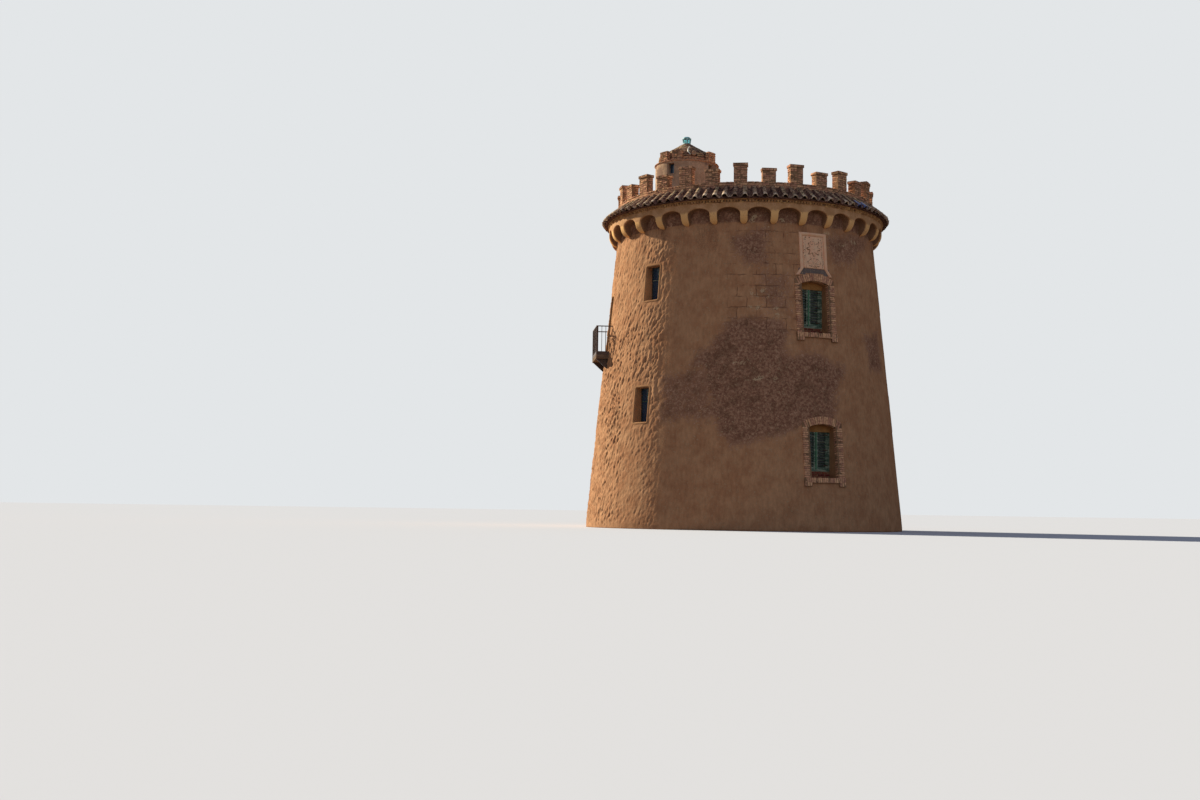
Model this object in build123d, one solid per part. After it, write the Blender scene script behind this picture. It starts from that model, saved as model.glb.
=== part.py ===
from build123d import *
from math import asin, atan2, degrees, radians, sqrt, tan
import os

# A round watchtower: a battered masonry wall of two storeys, a corbel arcade and a
# tiled skirt under a crenellated parapet, and a small round turret on its terrace.
# Millimetres. The origin is the centre of the base at ground level, +Z is up, and -Y is
# the side with the carved panel. An azimuth is counted in degrees from -Y towards +X.

# Tower wall
BASE_RADIUS = 5470.0
BATTER = 0.1001
LOWER_STOREY = 5600.0
UPPER_STOREY = 4300.0
LOWER_WALL_THICKNESS = 2070.0
UPPER_WALL_THICKNESS = 829.0
SECTORS = ("front_right", "right", "back_right", "back", "left", "front_left")
SECTOR_START = -10.0
SECTOR_SWEEP = 360.0 / len(SECTORS)
COURSE_JOINT = 2.0

# Floors
GROUND_FLOOR_THICKNESS = 150.0
UPPER_FLOOR_THICKNESS = 300.0
TERRACE_THICKNESS = 300.0

# Corbel arcade
ARCH_COUNT = 30
ARCADE_HEIGHT = 634.0
ARCADE_PROJECTION = 320.0
CORBEL_FACE_WIDTH = 240.0
CORBEL_RISE = 390.0
ARCH_SPRING = 300.0
ARCH_RISE = 200.0
ARCH_JOINT = 4.0

# Brick course and tiled skirt
DENTIL_HEIGHT = 124.0
DENTIL_OVERSAIL = 40.0
TILE_OVERHANG = 161.0
TILE_NOSE_DROP = 10.0
TILE_NOSE_HEIGHT = 42.0
TILE_BED_HEIGHT = 322.0
TILE_COVERS_IN_ARC = 16
TILE_COVER_RADIUS = 95.0

# Parapet and merlons
PARAPET_THICKNESS = 400.0
PARAPET_HEIGHT = 1040.0
EMBRASURE_COPING = 40.0
COPING_OVERSAIL = 20.0
MERLON_COUNT = 30
MERLON_AZIMUTH = 4.5
MERLON_WIDTH = 440.0
MERLON_DEPTH = 260.0
TALL_MERLON_HEIGHT = 580.0
SHORT_MERLON_HEIGHT = 415.0
MERLON_CAP_HEIGHT = 90.0
MERLON_CAP_OVERSAIL = 25.0
MERLON_JOINT = 5.0

# Framed windows, one above the other on two sides of the tower
WINDOW_AZIMUTHS = (23.5, 143.5)
WINDOW_WIDTH = 1000.0
WINDOW_HEIGHT = 1620.0
WINDOW_RISE = 100.0
LOWER_WINDOW_SILL = 1690.0
UPPER_WINDOW_STOREY_SILL = 760.0
WINDOW_SETBACK = 450.0
SURROUND_WIDTH = 235.0
SURROUND_DEPTH = 110.0
SURROUND_PROUD = 35.0
SILL_HEIGHT = 150.0
SILL_EAR_WIDTH = 250.0
SILL_EAR_DROP = 110.0
SILL_SIDE = 25.0
SILL_PROUD = 75.0
WINDOW_FRAME_WIDTH = 60.0
WINDOW_FRAME_DEPTH = 90.0
APRON_HEIGHT = 230.0
APRON_THICKNESS = 70.0
LEAF_GAP = 4.0
LEAF_HINGE_GAP = 0.3
LEAF_THICKNESS = 45.0
LEAF_STILE = 75.0
LEAF_SLATS = 13
SLAT_THICKNESS = 12.0
SLAT_TILT = 35.0

# Slit windows: the azimuths in each storey
LOWER_SLIT_AZIMUTHS = (-46.8, 83.0)
UPPER_SLIT_AZIMUTHS = (-46.3, 83.0, 203.0)
LOWER_SLIT_SILL = 3470.0
UPPER_SLIT_STOREY_SILL = 1940.0
SLIT_WIDTH = 600.0
SLIT_HEIGHT = 1150.0
SLIT_SETBACK = 290.0
SLIT_FRAME = 50.0
SLIT_FRAME_DEPTH = 60.0
PANE_THICKNESS = 12.0

# Carved panel over the upper front window
PANEL_WIDTH = 800.0
PANEL_OVER_WINDOW = 410.0
PANEL_HEIGHT = 1200.0
PANEL_PROUD = 45.0
PANEL_DEPTH = 120.0
PANEL_BORDER = 110.0
PANEL_BORDER_PROUD = 70.0
PANEL_FLARE = 170.0
PANEL_FLARE_HEIGHT = 240.0

# Balcony
BALCONY_AZIMUTH = -85.0
BALCONY_WIDTH = 1600.0
BALCONY_PROJECTION = 414.0
BALCONY_STEP = 30.0
BALCONY_SLAB = 130.0
BALCONY_BRACKET_HEIGHT = 330.0
BALCONY_BRACKET_WIDTH = 60.0
BALCONY_BRACKET_INSET = 180.0
RAIL_HEIGHT = 1010.0
RAIL_BAR = 16.0
RAIL_POST = 32.0
RAIL_BAR_PITCH = 127.0
KICK_PLATE = 120.0
BALCONY_DOOR_WIDTH = 900.0
BALCONY_DOOR_HEIGHT = 2050.0
BALCONY_DOOR_RISE = 80.0
BALCONY_DOOR_SETBACK = 300.0
DOOR_THICKNESS = 60.0

# Entrance
ENTRANCE_AZIMUTH = 180.0
ENTRANCE_WIDTH = 1200.0
ENTRANCE_SPRING = 1900.0
ENTRANCE_SETBACK = 900.0

# Turret on the terrace
TURRET_PASSAGE = 909.0
TURRET_RADIUS = 1100.0
TURRET_WALL = 250.0
TURRET_HEIGHT = 2610.0
TURRET_CORNICE_HEIGHT = 50.0
TURRET_CORNICE_OVERSAIL = 40.0
TURRET_ATTIC_RADIUS = 960.0
TURRET_ATTIC_HEIGHT = 305.0
TURRET_ROOF_RISE = 575.0
TURRET_ROOF_SHELL = 140.0
TURRET_DOOR_WIDTH = 700.0
TURRET_DOOR_HEIGHT = 1800.0
TURRET_DOOR_AZIMUTH = 90.0
TURRET_SLIT_AZIMUTHS = (-33.0, 47.0)
TURRET_SLIT_WIDTH = 240.0
TURRET_SLIT_HEIGHT = 370.0
TURRET_SLIT_SILL = 2180.0
TURRET_SLIT_PANE_SETBACK = 170.0
TURRET_MERLON_AZIMUTHS = (-50.0, -21.0, 50.0, 130.0, 159.0, -130.0)
TURRET_MERLON_WIDTH = 380.0
TURRET_MERLON_DEPTH = 150.0
TURRET_MERLON_HEIGHT = 345.0
LANTERN_BASE_RADIUS = 140.0
LANTERN_BASE_HEIGHT = 30.0
LANTERN_NECK = 125.0
LANTERN_RADIUS = 150.0
LANTERN_HEIGHT = 180.0
LANTERN_CAP_HEIGHT = 50.0
LANTERN_CAP_RADIUS = 110.0
LANTERN_SIDES = 8

# Levels and radii that follow from the sizes above
WALL_HEAD = LOWER_STOREY + UPPER_STOREY
TERRACE = WALL_HEAD + TERRACE_THICKNESS
HEAD_RADIUS = BASE_RADIUS - BATTER * WALL_HEAD
LOWER_ROOM_RADIUS = BASE_RADIUS - LOWER_WALL_THICKNESS
UPPER_ROOM_RADIUS = HEAD_RADIUS - UPPER_WALL_THICKNESS
ARCADE_RADIUS = HEAD_RADIUS + ARCADE_PROJECTION
ARCADE_TOP = WALL_HEAD + ARCADE_HEIGHT
DENTIL_TOP = ARCADE_TOP + DENTIL_HEIGHT
TILE_NOSE_RADIUS = ARCADE_RADIUS + DENTIL_OVERSAIL + TILE_OVERHANG
PARAPET_TOP = TERRACE + PARAPET_HEIGHT
PARAPET_INNER_RADIUS = HEAD_RADIUS - PARAPET_THICKNESS
UPPER_WINDOW_SILL = LOWER_STOREY + UPPER_WINDOW_STOREY_SILL
UPPER_SLIT_SILL = LOWER_STOREY + UPPER_SLIT_STOREY_SILL
PANEL_FOOT = UPPER_WINDOW_SILL + WINDOW_HEIGHT + WINDOW_RISE + PANEL_OVER_WINDOW
BALCONY_FLOOR = LOWER_STOREY + UPPER_FLOOR_THICKNESS + BALCONY_STEP
BALCONY_FRONT = BASE_RADIUS - BATTER * BALCONY_FLOOR + BALCONY_PROJECTION
TURRET_CENTRE = (TURRET_RADIUS + TURRET_PASSAGE - PARAPET_INNER_RADIUS, 0.0)
TURRET_EAVE = TERRACE + TURRET_HEIGHT
TURRET_CORNICE_TOP = TURRET_EAVE + TURRET_CORNICE_HEIGHT
TURRET_APEX = TURRET_CORNICE_TOP + TURRET_ATTIC_HEIGHT + TURRET_ROOF_RISE
REACH = 2.0 * BASE_RADIUS
SKIN_SPREAD = 15.0


def wall_radius(z):
    """Outer radius of the battered wall at a height."""
    return BASE_RADIUS - BATTER * z


def ring_sector(points, start, sweep):
    """Revolve a closed section, given as (radius, height) points, from one azimuth on."""
    section = Plane.XZ * make_face(Polyline(*points, close=True))
    return Rot(0, 0, start - 90) * revolve(section, Axis.Z, sweep)


def block(width, low, high, inner, outer):
    """Box on the azimuth 0 side, between two distances from the axis and two heights."""
    centre = Pos(0, -(inner + outer) / 2, (low + high) / 2)
    return centre * Box(width, outer - inner, high - low)


def arched_outline(width, low, spring, rise):
    """Upright outline with a segmental head, facing azimuth 0."""
    half = width / 2
    jambs = Polyline((-half, spring), (-half, low), (half, low), (half, spring))
    head = ThreePointArc((half, spring), (0, spring + rise), (-half, spring))
    return Plane.XZ * make_face(jambs + head)


def window_hole(extra, low, sill):
    """Prism of a framed window's opening, grown by extra at its sides and head."""
    spring = sill + WINDOW_HEIGHT
    half = WINDOW_WIDTH / 2
    radius = (half * half + WINDOW_RISE * WINDOW_RISE) / (2 * WINDOW_RISE) + extra
    grown = half + extra
    rise = radius - sqrt(radius * radius - grown * grown)
    head_spring = spring + WINDOW_RISE + extra - rise
    return extrude(arched_outline(2 * grown, low, head_spring, rise), REACH)


def wall_skin(low, high, depth, proud):
    """Layer that follows the battered face, from a depth inside it to a step in front."""
    points = [
        (wall_radius(low) - depth, low),
        (wall_radius(low) + proud, low),
        (wall_radius(high) + proud, high),
        (wall_radius(high) - depth, high),
    ]
    return ring_sector(points, -SKIN_SPREAD, 2 * SKIN_SPREAD)


def face_distance(low, high):
    """Distance of the wall face from the axis, halfway between two heights."""
    return wall_radius((low + high) / 2)


# Window parts, modelled at azimuth 0 for one sill height
def window_surround(sill):
    """Brick jambs and segmental head, bedded in the wall and a little proud of it."""
    top = sill + WINDOW_HEIGHT + WINDOW_RISE + SURROUND_WIDTH
    skin = wall_skin(sill, top, SURROUND_DEPTH, SURROUND_PROUD)
    return skin & window_hole(SURROUND_WIDTH, sill, sill) - window_hole(0, sill, sill)


def window_sill(sill):
    """Projecting brick sill with a dropped block under each jamb."""
    half = WINDOW_WIDTH / 2 + SURROUND_WIDTH + SILL_SIDE
    ear_foot = sill - SILL_HEIGHT - SILL_EAR_DROP
    outline = Polyline(
        (-half, sill),
        (-half, ear_foot),
        (-half + SILL_EAR_WIDTH, ear_foot),
        (-half + SILL_EAR_WIDTH, sill - SILL_HEIGHT),
        (half - SILL_EAR_WIDTH, sill - SILL_HEIGHT),
        (half - SILL_EAR_WIDTH, ear_foot),
        (half, ear_foot),
        (half, sill),
        close=True,
    )
    skin = wall_skin(ear_foot, sill, SURROUND_DEPTH, SILL_PROUD)
    return skin & extrude(Plane.XZ * make_face(outline), REACH)


def window_plane(sill):
    """Distance of the joinery's outer face from the axis."""
    return face_distance(sill, sill + WINDOW_HEIGHT) - WINDOW_SETBACK


def window_frame(sill):
    """Timber frame that fills the reveal above the apron, with its head on the arch."""
    outer = window_plane(sill)
    low = sill + APRON_HEIGHT
    layer = block(WINDOW_WIDTH, low, sill + WINDOW_HEIGHT + WINDOW_RISE,
                  outer - WINDOW_FRAME_DEPTH, outer)
    inside = block(WINDOW_WIDTH - 2 * WINDOW_FRAME_WIDTH, low + WINDOW_FRAME_WIDTH,
                   sill + WINDOW_HEIGHT - WINDOW_FRAME_WIDTH, 0, REACH)
    return (layer & window_hole(0, low, sill)) - inside


def window_apron(sill):
    """Low brick breast under the frame."""
    outer = window_plane(sill)
    return block(WINDOW_WIDTH, sill, sill + APRON_HEIGHT, outer - APRON_THICKNESS, outer)


def shutter_leaf(sill, side):
    """Louvred leaf: stiles, rails and tilted slats in one piece."""
    outer = window_plane(sill) - (WINDOW_FRAME_DEPTH - LEAF_THICKNESS) / 2
    inner = outer - LEAF_THICKNESS
    clear = WINDOW_WIDTH - 2 * WINDOW_FRAME_WIDTH
    width = (clear - LEAF_GAP) / 2 - LEAF_HINGE_GAP
    low = sill + APRON_HEIGHT + WINDOW_FRAME_WIDTH + LEAF_GAP
    high = sill + WINDOW_HEIGHT - WINDOW_FRAME_WIDTH - LEAF_GAP
    light = (low + LEAF_STILE, high - LEAF_STILE)
    leaf = block(width, low, high, inner, outer)
    leaf -= block(width - 2 * LEAF_STILE, light[0], light[1], 0, REACH)
    pitch = (light[1] - light[0]) / LEAF_SLATS
    for i in range(LEAF_SLATS):
        centre = Pos(0, -(inner + outer) / 2, light[0] + (i + 0.5) * pitch)
        slat = Box(width - 2 * LEAF_STILE, LEAF_THICKNESS, SLAT_THICKNESS)
        leaf += centre * Rot(-SLAT_TILT, 0, 0) * slat
    return Pos(side * (width + LEAF_GAP) / 2, 0, 0) * leaf


# Slit windows, modelled at azimuth 0
def slit_hole(sill):
    return block(SLIT_WIDTH, sill, sill + SLIT_HEIGHT, 0, REACH)


def slit_plane(sill):
    """Distance of the slit frame's outer face from the axis."""
    return face_distance(sill, sill + SLIT_HEIGHT) - SLIT_SETBACK


def slit_frame(sill):
    outer = slit_plane(sill)
    frame = block(SLIT_WIDTH, sill, sill + SLIT_HEIGHT, outer - SLIT_FRAME_DEPTH, outer)
    return frame - block(SLIT_WIDTH - 2 * SLIT_FRAME, sill + SLIT_FRAME,
                         sill + SLIT_HEIGHT - SLIT_FRAME, 0, REACH)


def slit_pane(sill):
    middle = slit_plane(sill) - SLIT_FRAME_DEPTH / 2
    return block(SLIT_WIDTH - 2 * SLIT_FRAME, sill + SLIT_FRAME, sill + SLIT_HEIGHT - SLIT_FRAME,
                 middle - PANE_THICKNESS / 2, middle + PANE_THICKNESS / 2)


# Carved panel
def panel_outline(half, foot, top, flare):
    """Upright slab outline whose sides swing out towards the foot."""
    bend = foot + PANEL_FLARE_HEIGHT
    return Plane.XZ * make_face(Polyline(
        (-half - flare, foot),
        (half + flare, foot),
        (half, bend),
        (half, top),
        (-half, top),
        (-half, bend),
        close=True,
    ))


def panel_border():
    """Moulded strip up both sides and over the top, flared out at the window's arch."""
    foot = PANEL_FOOT - PANEL_FLARE_HEIGHT
    top = PANEL_FOOT + PANEL_HEIGHT
    outside = PANEL_WIDTH / 2 + PANEL_BORDER
    skin = wall_skin(foot, top, PANEL_DEPTH, PANEL_BORDER_PROUD)
    strip = skin & extrude(panel_outline(outside, foot, top, PANEL_FLARE), REACH)
    strip -= extrude(panel_outline(PANEL_WIDTH / 2, foot, top - PANEL_BORDER, PANEL_FLARE), REACH)
    return strip - window_hole(SURROUND_WIDTH, UPPER_WINDOW_SILL, UPPER_WINDOW_SILL)


def panel_slab():
    """Stone slab between the strips, down to its straight foot."""
    top = PANEL_FOOT + PANEL_HEIGHT - PANEL_BORDER
    skin = wall_skin(PANEL_FOOT, top, PANEL_DEPTH, PANEL_PROUD)
    return skin & extrude(Plane.XZ * make_face(
        Polyline((-PANEL_WIDTH / 2, PANEL_FOOT), (PANEL_WIDTH / 2, PANEL_FOOT),
                 (PANEL_WIDTH / 2, top), (-PANEL_WIDTH / 2, top), close=True)), REACH)


# Doorways, modelled at azimuth 0
def entrance_outline(width):
    """Round-headed outline that stands on the ground floor."""
    return arched_outline(width, GROUND_FLOOR_THICKNESS, ENTRANCE_SPRING, width / 2)


def entrance_surround():
    """Brick band round the doorway, bedded like the window surrounds."""
    top = ENTRANCE_SPRING + ENTRANCE_WIDTH / 2 + SURROUND_WIDTH
    skin = wall_skin(GROUND_FLOOR_THICKNESS, top, SURROUND_DEPTH, SURROUND_PROUD)
    band = extrude(entrance_outline(ENTRANCE_WIDTH + 2 * SURROUND_WIDTH), REACH)
    return skin & band - extrude(entrance_outline(ENTRANCE_WIDTH), REACH)


def entrance_door():
    top = ENTRANCE_SPRING + ENTRANCE_WIDTH / 2
    outer = face_distance(GROUND_FLOOR_THICKNESS, top) - ENTRANCE_SETBACK
    layer = block(ENTRANCE_WIDTH, GROUND_FLOOR_THICKNESS, top, outer - DOOR_THICKNESS, outer)
    return layer & extrude(entrance_outline(ENTRANCE_WIDTH), REACH)


def balcony_door_prism():
    spring = BALCONY_FLOOR + BALCONY_DOOR_HEIGHT
    return extrude(
        arched_outline(BALCONY_DOOR_WIDTH, BALCONY_FLOOR, spring, BALCONY_DOOR_RISE), REACH)


def balcony_door():
    top = BALCONY_FLOOR + BALCONY_DOOR_HEIGHT + BALCONY_DOOR_RISE
    outer = face_distance(BALCONY_FLOOR, top) - BALCONY_DOOR_SETBACK
    layer = block(BALCONY_DOOR_WIDTH, BALCONY_FLOOR, top, outer - DOOR_THICKNESS, outer)
    return layer & balcony_door_prism()


# Tower walls
def lower_wall(start):
    points = [
        (LOWER_ROOM_RADIUS, 0),
        (wall_radius(0), 0),
        (wall_radius(LOWER_STOREY), LOWER_STOREY),
        (LOWER_ROOM_RADIUS, LOWER_STOREY),
    ]
    return ring_sector(points, start, SECTOR_SWEEP)


def upper_wall(start):
    points = [
        (UPPER_ROOM_RADIUS, LOWER_STOREY),
        (wall_radius(LOWER_STOREY), LOWER_STOREY),
        (HEAD_RADIUS, WALL_HEAD),
        (UPPER_ROOM_RADIUS, WALL_HEAD),
    ]
    return ring_sector(points, start, SECTOR_SWEEP)


def in_sector(azimuth, start):
    return (azimuth - start) % 360 < SECTOR_SWEEP


def cut_lower(wall, start):
    """Cut the windows, slits and entrance that lie in one sector of the lower wall."""
    for azimuth in WINDOW_AZIMUTHS:
        if in_sector(azimuth, start):
            wall -= Rot(0, 0, azimuth) * window_hole(0, LOWER_WINDOW_SILL, LOWER_WINDOW_SILL)
            wall -= Rot(0, 0, azimuth) * window_surround(LOWER_WINDOW_SILL)
            wall -= Rot(0, 0, azimuth) * window_sill(LOWER_WINDOW_SILL)
    for azimuth in LOWER_SLIT_AZIMUTHS:
        if in_sector(azimuth, start):
            wall -= Rot(0, 0, azimuth) * slit_hole(LOWER_SLIT_SILL)
    if in_sector(ENTRANCE_AZIMUTH, start):
        wall -= Rot(0, 0, ENTRANCE_AZIMUTH) * extrude(entrance_outline(ENTRANCE_WIDTH), REACH)
        wall -= Rot(0, 0, ENTRANCE_AZIMUTH) * entrance_surround()
    return wall


def cut_upper(wall, start):
    """Cut the windows, slits, panel bed and balcony door of one upper sector."""
    for azimuth in WINDOW_AZIMUTHS:
        if in_sector(azimuth, start):
            wall -= Rot(0, 0, azimuth) * window_hole(0, UPPER_WINDOW_SILL, UPPER_WINDOW_SILL)
            wall -= Rot(0, 0, azimuth) * window_surround(UPPER_WINDOW_SILL)
            wall -= Rot(0, 0, azimuth) * window_sill(UPPER_WINDOW_SILL)
    for azimuth in UPPER_SLIT_AZIMUTHS:
        if in_sector(azimuth, start):
            wall -= Rot(0, 0, azimuth) * slit_hole(UPPER_SLIT_SILL)
    if in_sector(WINDOW_AZIMUTHS[0], start):
        wall -= Rot(0, 0, WINDOW_AZIMUTHS[0]) * panel_border()
        wall -= Rot(0, 0, WINDOW_AZIMUTHS[0]) * panel_slab()
    if in_sector(BALCONY_AZIMUTH, start):
        wall -= Rot(0, 0, BALCONY_AZIMUTH) * balcony_door_prism()
        wall -= Rot(0, 0, BALCONY_AZIMUTH) * balcony_slab()
    return wall


# Rings above the wall, each in one arc per sector
def ring_arcs(points):
    joint = degrees(COURSE_JOINT / HEAD_RADIUS)
    arc = ring_sector(points, SECTOR_START + joint / 2, SECTOR_SWEEP - joint)
    return [Rot(0, 0, SECTOR_SWEEP * i) * arc for i in range(len(SECTORS))]


def corbel_arcade():
    """Quarter-round corbels that carry small elliptical arches, one unit per corbel."""
    pitch = 360.0 / ARCH_COUNT
    joint = degrees(ARCH_JOINT / ARCADE_RADIUS)
    foot = Edge.make_line((HEAD_RADIUS, WALL_HEAD), (HEAD_RADIUS, ARCADE_TOP))
    top = Polyline((HEAD_RADIUS, ARCADE_TOP), (ARCADE_RADIUS, ARCADE_TOP),
                   (ARCADE_RADIUS, WALL_HEAD + CORBEL_RISE))
    belly = EllipticalCenterArc((HEAD_RADIUS, WALL_HEAD + CORBEL_RISE), ARCADE_PROJECTION,
                                CORBEL_RISE, start_angle=270, arc_size=90)
    section = Plane.XZ * make_face(Curve() + [foot, top, belly])
    unit = Rot(0, 0, -pitch / 2 + joint / 2 - 90) * revolve(section, Axis.Z, pitch - joint)
    half = ARCADE_RADIUS * tan(radians(pitch / 2)) - CORBEL_FACE_WIDTH / 2
    spring = WALL_HEAD + ARCH_SPRING
    jambs = Polyline((-half, spring), (-half, 0), (half, 0), (half, spring))
    crown = EllipticalCenterArc((0, spring), half, ARCH_RISE, start_angle=0, arc_size=180)
    bay = extrude(Plane.XZ * make_face(jambs + crown), REACH)
    unit -= Rot(0, 0, -pitch / 2) * bay
    unit -= Rot(0, 0, pitch / 2) * bay
    return [Rot(0, 0, (i + 0.5) * pitch) * unit for i in range(ARCH_COUNT)]


def dentil_course():
    """Brick course that oversails the arcade under the tiles."""
    return ring_arcs([
        (HEAD_RADIUS, ARCADE_TOP),
        (ARCADE_RADIUS + DENTIL_OVERSAIL, ARCADE_TOP),
        (ARCADE_RADIUS + DENTIL_OVERSAIL, DENTIL_TOP),
        (HEAD_RADIUS, DENTIL_TOP),
    ])


def cover_tiles():
    """Rolls of the cover tiles down one arc, from the parapet to the nose of the bed."""
    nose = DENTIL_TOP + TILE_NOSE_HEIGHT
    head = DENTIL_TOP + TILE_BED_HEIGHT
    slope = degrees(atan2(head - nose, TILE_NOSE_RADIUS - HEAD_RADIUS))
    middle = Pos(0, -(TILE_NOSE_RADIUS + HEAD_RADIUS) / 2, (nose + head) / 2)
    roll = middle * Rot(slope - 90, 0, 0) * Cylinder(TILE_COVER_RADIUS, BASE_RADIUS / 2)
    top = head + 2 * TILE_COVER_RADIUS
    roll &= ring_sector([(HEAD_RADIUS, DENTIL_TOP), (TILE_NOSE_RADIUS, DENTIL_TOP),
                         (TILE_NOSE_RADIUS, top), (HEAD_RADIUS, top)], -SKIN_SPREAD, 2 * SKIN_SPREAD)
    pitch = SECTOR_SWEEP / TILE_COVERS_IN_ARC
    return [Rot(0, 0, SECTOR_START + (i + 0.5) * pitch) * roll for i in range(TILE_COVERS_IN_ARC)]


def tile_skirt():
    """Sloping bed of tile under rows of covers, from the parapet out past the brick course."""
    arcs = ring_arcs([
        (HEAD_RADIUS, DENTIL_TOP),
        (ARCADE_RADIUS + DENTIL_OVERSAIL, DENTIL_TOP),
        (TILE_NOSE_RADIUS, DENTIL_TOP - TILE_NOSE_DROP),
        (TILE_NOSE_RADIUS, DENTIL_TOP + TILE_NOSE_HEIGHT),
        (HEAD_RADIUS, DENTIL_TOP + TILE_BED_HEIGHT),
    ])
    tiled = arcs[0] + cover_tiles()
    return [Rot(0, 0, SECTOR_SWEEP * i) * tiled for i in range(len(SECTORS))]


def parapet():
    return ring_arcs([
        (PARAPET_INNER_RADIUS, TERRACE),
        (HEAD_RADIUS, TERRACE),
        (HEAD_RADIUS, PARAPET_TOP),
        (PARAPET_INNER_RADIUS, PARAPET_TOP),
    ])


# Merlons: curved blocks that follow the parapet, every second one taller
def merlon_block(radius, width, depth, low, height):
    """Curved block whose outer face lies on a radius, centred on azimuth 0."""
    spread = 2 * degrees(asin(width / 2 / radius))
    points = [
        (radius - depth, low),
        (radius, low),
        (radius, low + height),
        (radius - depth, low + height),
    ]
    return ring_sector(points, -spread / 2, spread)


def merlon_azimuths(first):
    return [MERLON_AZIMUTH + 360.0 / MERLON_COUNT * i for i in range(first, MERLON_COUNT, 2)]


def merlon_cap(foot):
    cap = merlon_block(HEAD_RADIUS + MERLON_CAP_OVERSAIL, MERLON_WIDTH + 2 * MERLON_CAP_OVERSAIL,
                       MERLON_DEPTH + 2 * MERLON_CAP_OVERSAIL, foot, MERLON_CAP_HEIGHT)
    return cap


def embrasure_copings():
    """Thin sills on the parapet between the merlons."""
    pitch = 360.0 / MERLON_COUNT
    taken = 2 * degrees(asin((MERLON_WIDTH / 2 + MERLON_JOINT) / HEAD_RADIUS))
    points = [
        (PARAPET_INNER_RADIUS - COPING_OVERSAIL, PARAPET_TOP),
        (HEAD_RADIUS + COPING_OVERSAIL, PARAPET_TOP),
        (HEAD_RADIUS + COPING_OVERSAIL, PARAPET_TOP + EMBRASURE_COPING),
        (PARAPET_INNER_RADIUS - COPING_OVERSAIL, PARAPET_TOP + EMBRASURE_COPING),
    ]
    slab = ring_sector(points, MERLON_AZIMUTH + taken / 2, pitch - taken)
    return [Rot(0, 0, pitch * i) * slab for i in range(MERLON_COUNT)]


# Balcony, modelled at azimuth 0
def tower_mass():
    """The whole tower wall as one solid cone frustum, to trim what butts against it."""
    return ring_sector([(0, 0), (wall_radius(0), 0), (HEAD_RADIUS, WALL_HEAD), (0, WALL_HEAD)],
                       0, 360)


def balcony_slab():
    """Slab with its tail built into the wall as deep as the surrounds."""
    low = BALCONY_FLOOR - BALCONY_SLAB
    tail = wall_radius(BALCONY_FLOOR) - SURROUND_DEPTH
    half = BALCONY_WIDTH / 2
    tail_edge = sqrt(tail * tail - half * half)
    return block(BALCONY_WIDTH, low, BALCONY_FLOOR, tail_edge, BALCONY_FRONT)


def balcony_brackets():
    """Two gusset brackets under the slab."""
    top = BALCONY_FLOOR - BALCONY_SLAB
    foot = top - BALCONY_BRACKET_HEIGHT
    outline = Plane.YZ * make_face(Polyline(
        (-BALCONY_FRONT, top), (-wall_radius(top) + BALCONY_WIDTH / 2, top),
        (-wall_radius(foot) + BALCONY_WIDTH / 2, foot), (-wall_radius(foot), foot), close=True))
    plate = extrude(outline, BALCONY_BRACKET_WIDTH / 2, both=True)
    shift = BALCONY_WIDTH / 2 - BALCONY_BRACKET_INSET
    return [Pos(side * shift, 0, 0) * plate - tower_mass() for side in (-1, 1)]


def rail_panel(length):
    """Flat railing of square bars between two rails, with a kick plate at its foot."""
    top = RAIL_HEIGHT - RAIL_POST / 2
    panel = Pos(0, 0, top) * Box(length, RAIL_POST, RAIL_POST)
    panel += Pos(0, 0, KICK_PLATE / 2) * Box(length, RAIL_BAR, KICK_PLATE)
    for side in (-1, 1):
        end = side * (length - RAIL_POST) / 2
        panel += Pos(end, 0, RAIL_HEIGHT / 2) * Box(RAIL_POST, RAIL_POST, RAIL_HEIGHT)
    count = round((length - RAIL_POST) / RAIL_BAR_PITCH)
    pitch = (length - RAIL_POST) / count
    for i in range(1, count):
        place = Pos((i - count / 2) * pitch, 0, RAIL_HEIGHT / 2)
        panel += place * Box(RAIL_BAR, RAIL_BAR, RAIL_HEIGHT - RAIL_POST)
    return panel


def balcony_rail_front():
    inset = BALCONY_FRONT - RAIL_POST / 2
    return Pos(0, -inset, BALCONY_FLOOR) * rail_panel(BALCONY_WIDTH)


def balcony_rail_sides():
    """Side railings from the front posts back to the wall face."""
    start = BALCONY_FRONT - RAIL_POST - COURSE_JOINT
    edge = (BALCONY_WIDTH - RAIL_POST) / 2
    back = sqrt(wall_radius(BALCONY_FLOOR + RAIL_HEIGHT) ** 2 - (BALCONY_WIDTH / 2) ** 2)
    length = start - back + RAIL_POST
    turned = Rot(0, 0, 90) * rail_panel(length)
    place = -(start - length / 2)
    sides = [Pos(side * edge, place, BALCONY_FLOOR) * turned for side in (-1, 1)]
    return [panel - tower_mass() for panel in sides]


# Turret, modelled about its own axis and moved to its place
def turret_place(shape):
    return Pos(*TURRET_CENTRE, 0) * shape


def turret_slit_block(inner, outer):
    """One block with a slit's outline at each slit, between two distances from the axis."""
    low = TERRACE + TURRET_SLIT_SILL
    slit = block(TURRET_SLIT_WIDTH, low, low + TURRET_SLIT_HEIGHT, inner, outer)
    return [Rot(0, 0, azimuth) * slit for azimuth in TURRET_SLIT_AZIMUTHS]


def turret_wall():
    drum = ring_sector([
        (TURRET_RADIUS - TURRET_WALL, TERRACE),
        (TURRET_RADIUS, TERRACE),
        (TURRET_RADIUS, TURRET_EAVE),
        (TURRET_RADIUS - TURRET_WALL, TURRET_EAVE),
    ], 0, 360)
    door = block(TURRET_DOOR_WIDTH, TERRACE, TERRACE + TURRET_DOOR_HEIGHT, 0, REACH)
    return drum - Rot(0, 0, TURRET_DOOR_AZIMUTH) * door - turret_slit_block(0, REACH)


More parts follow.
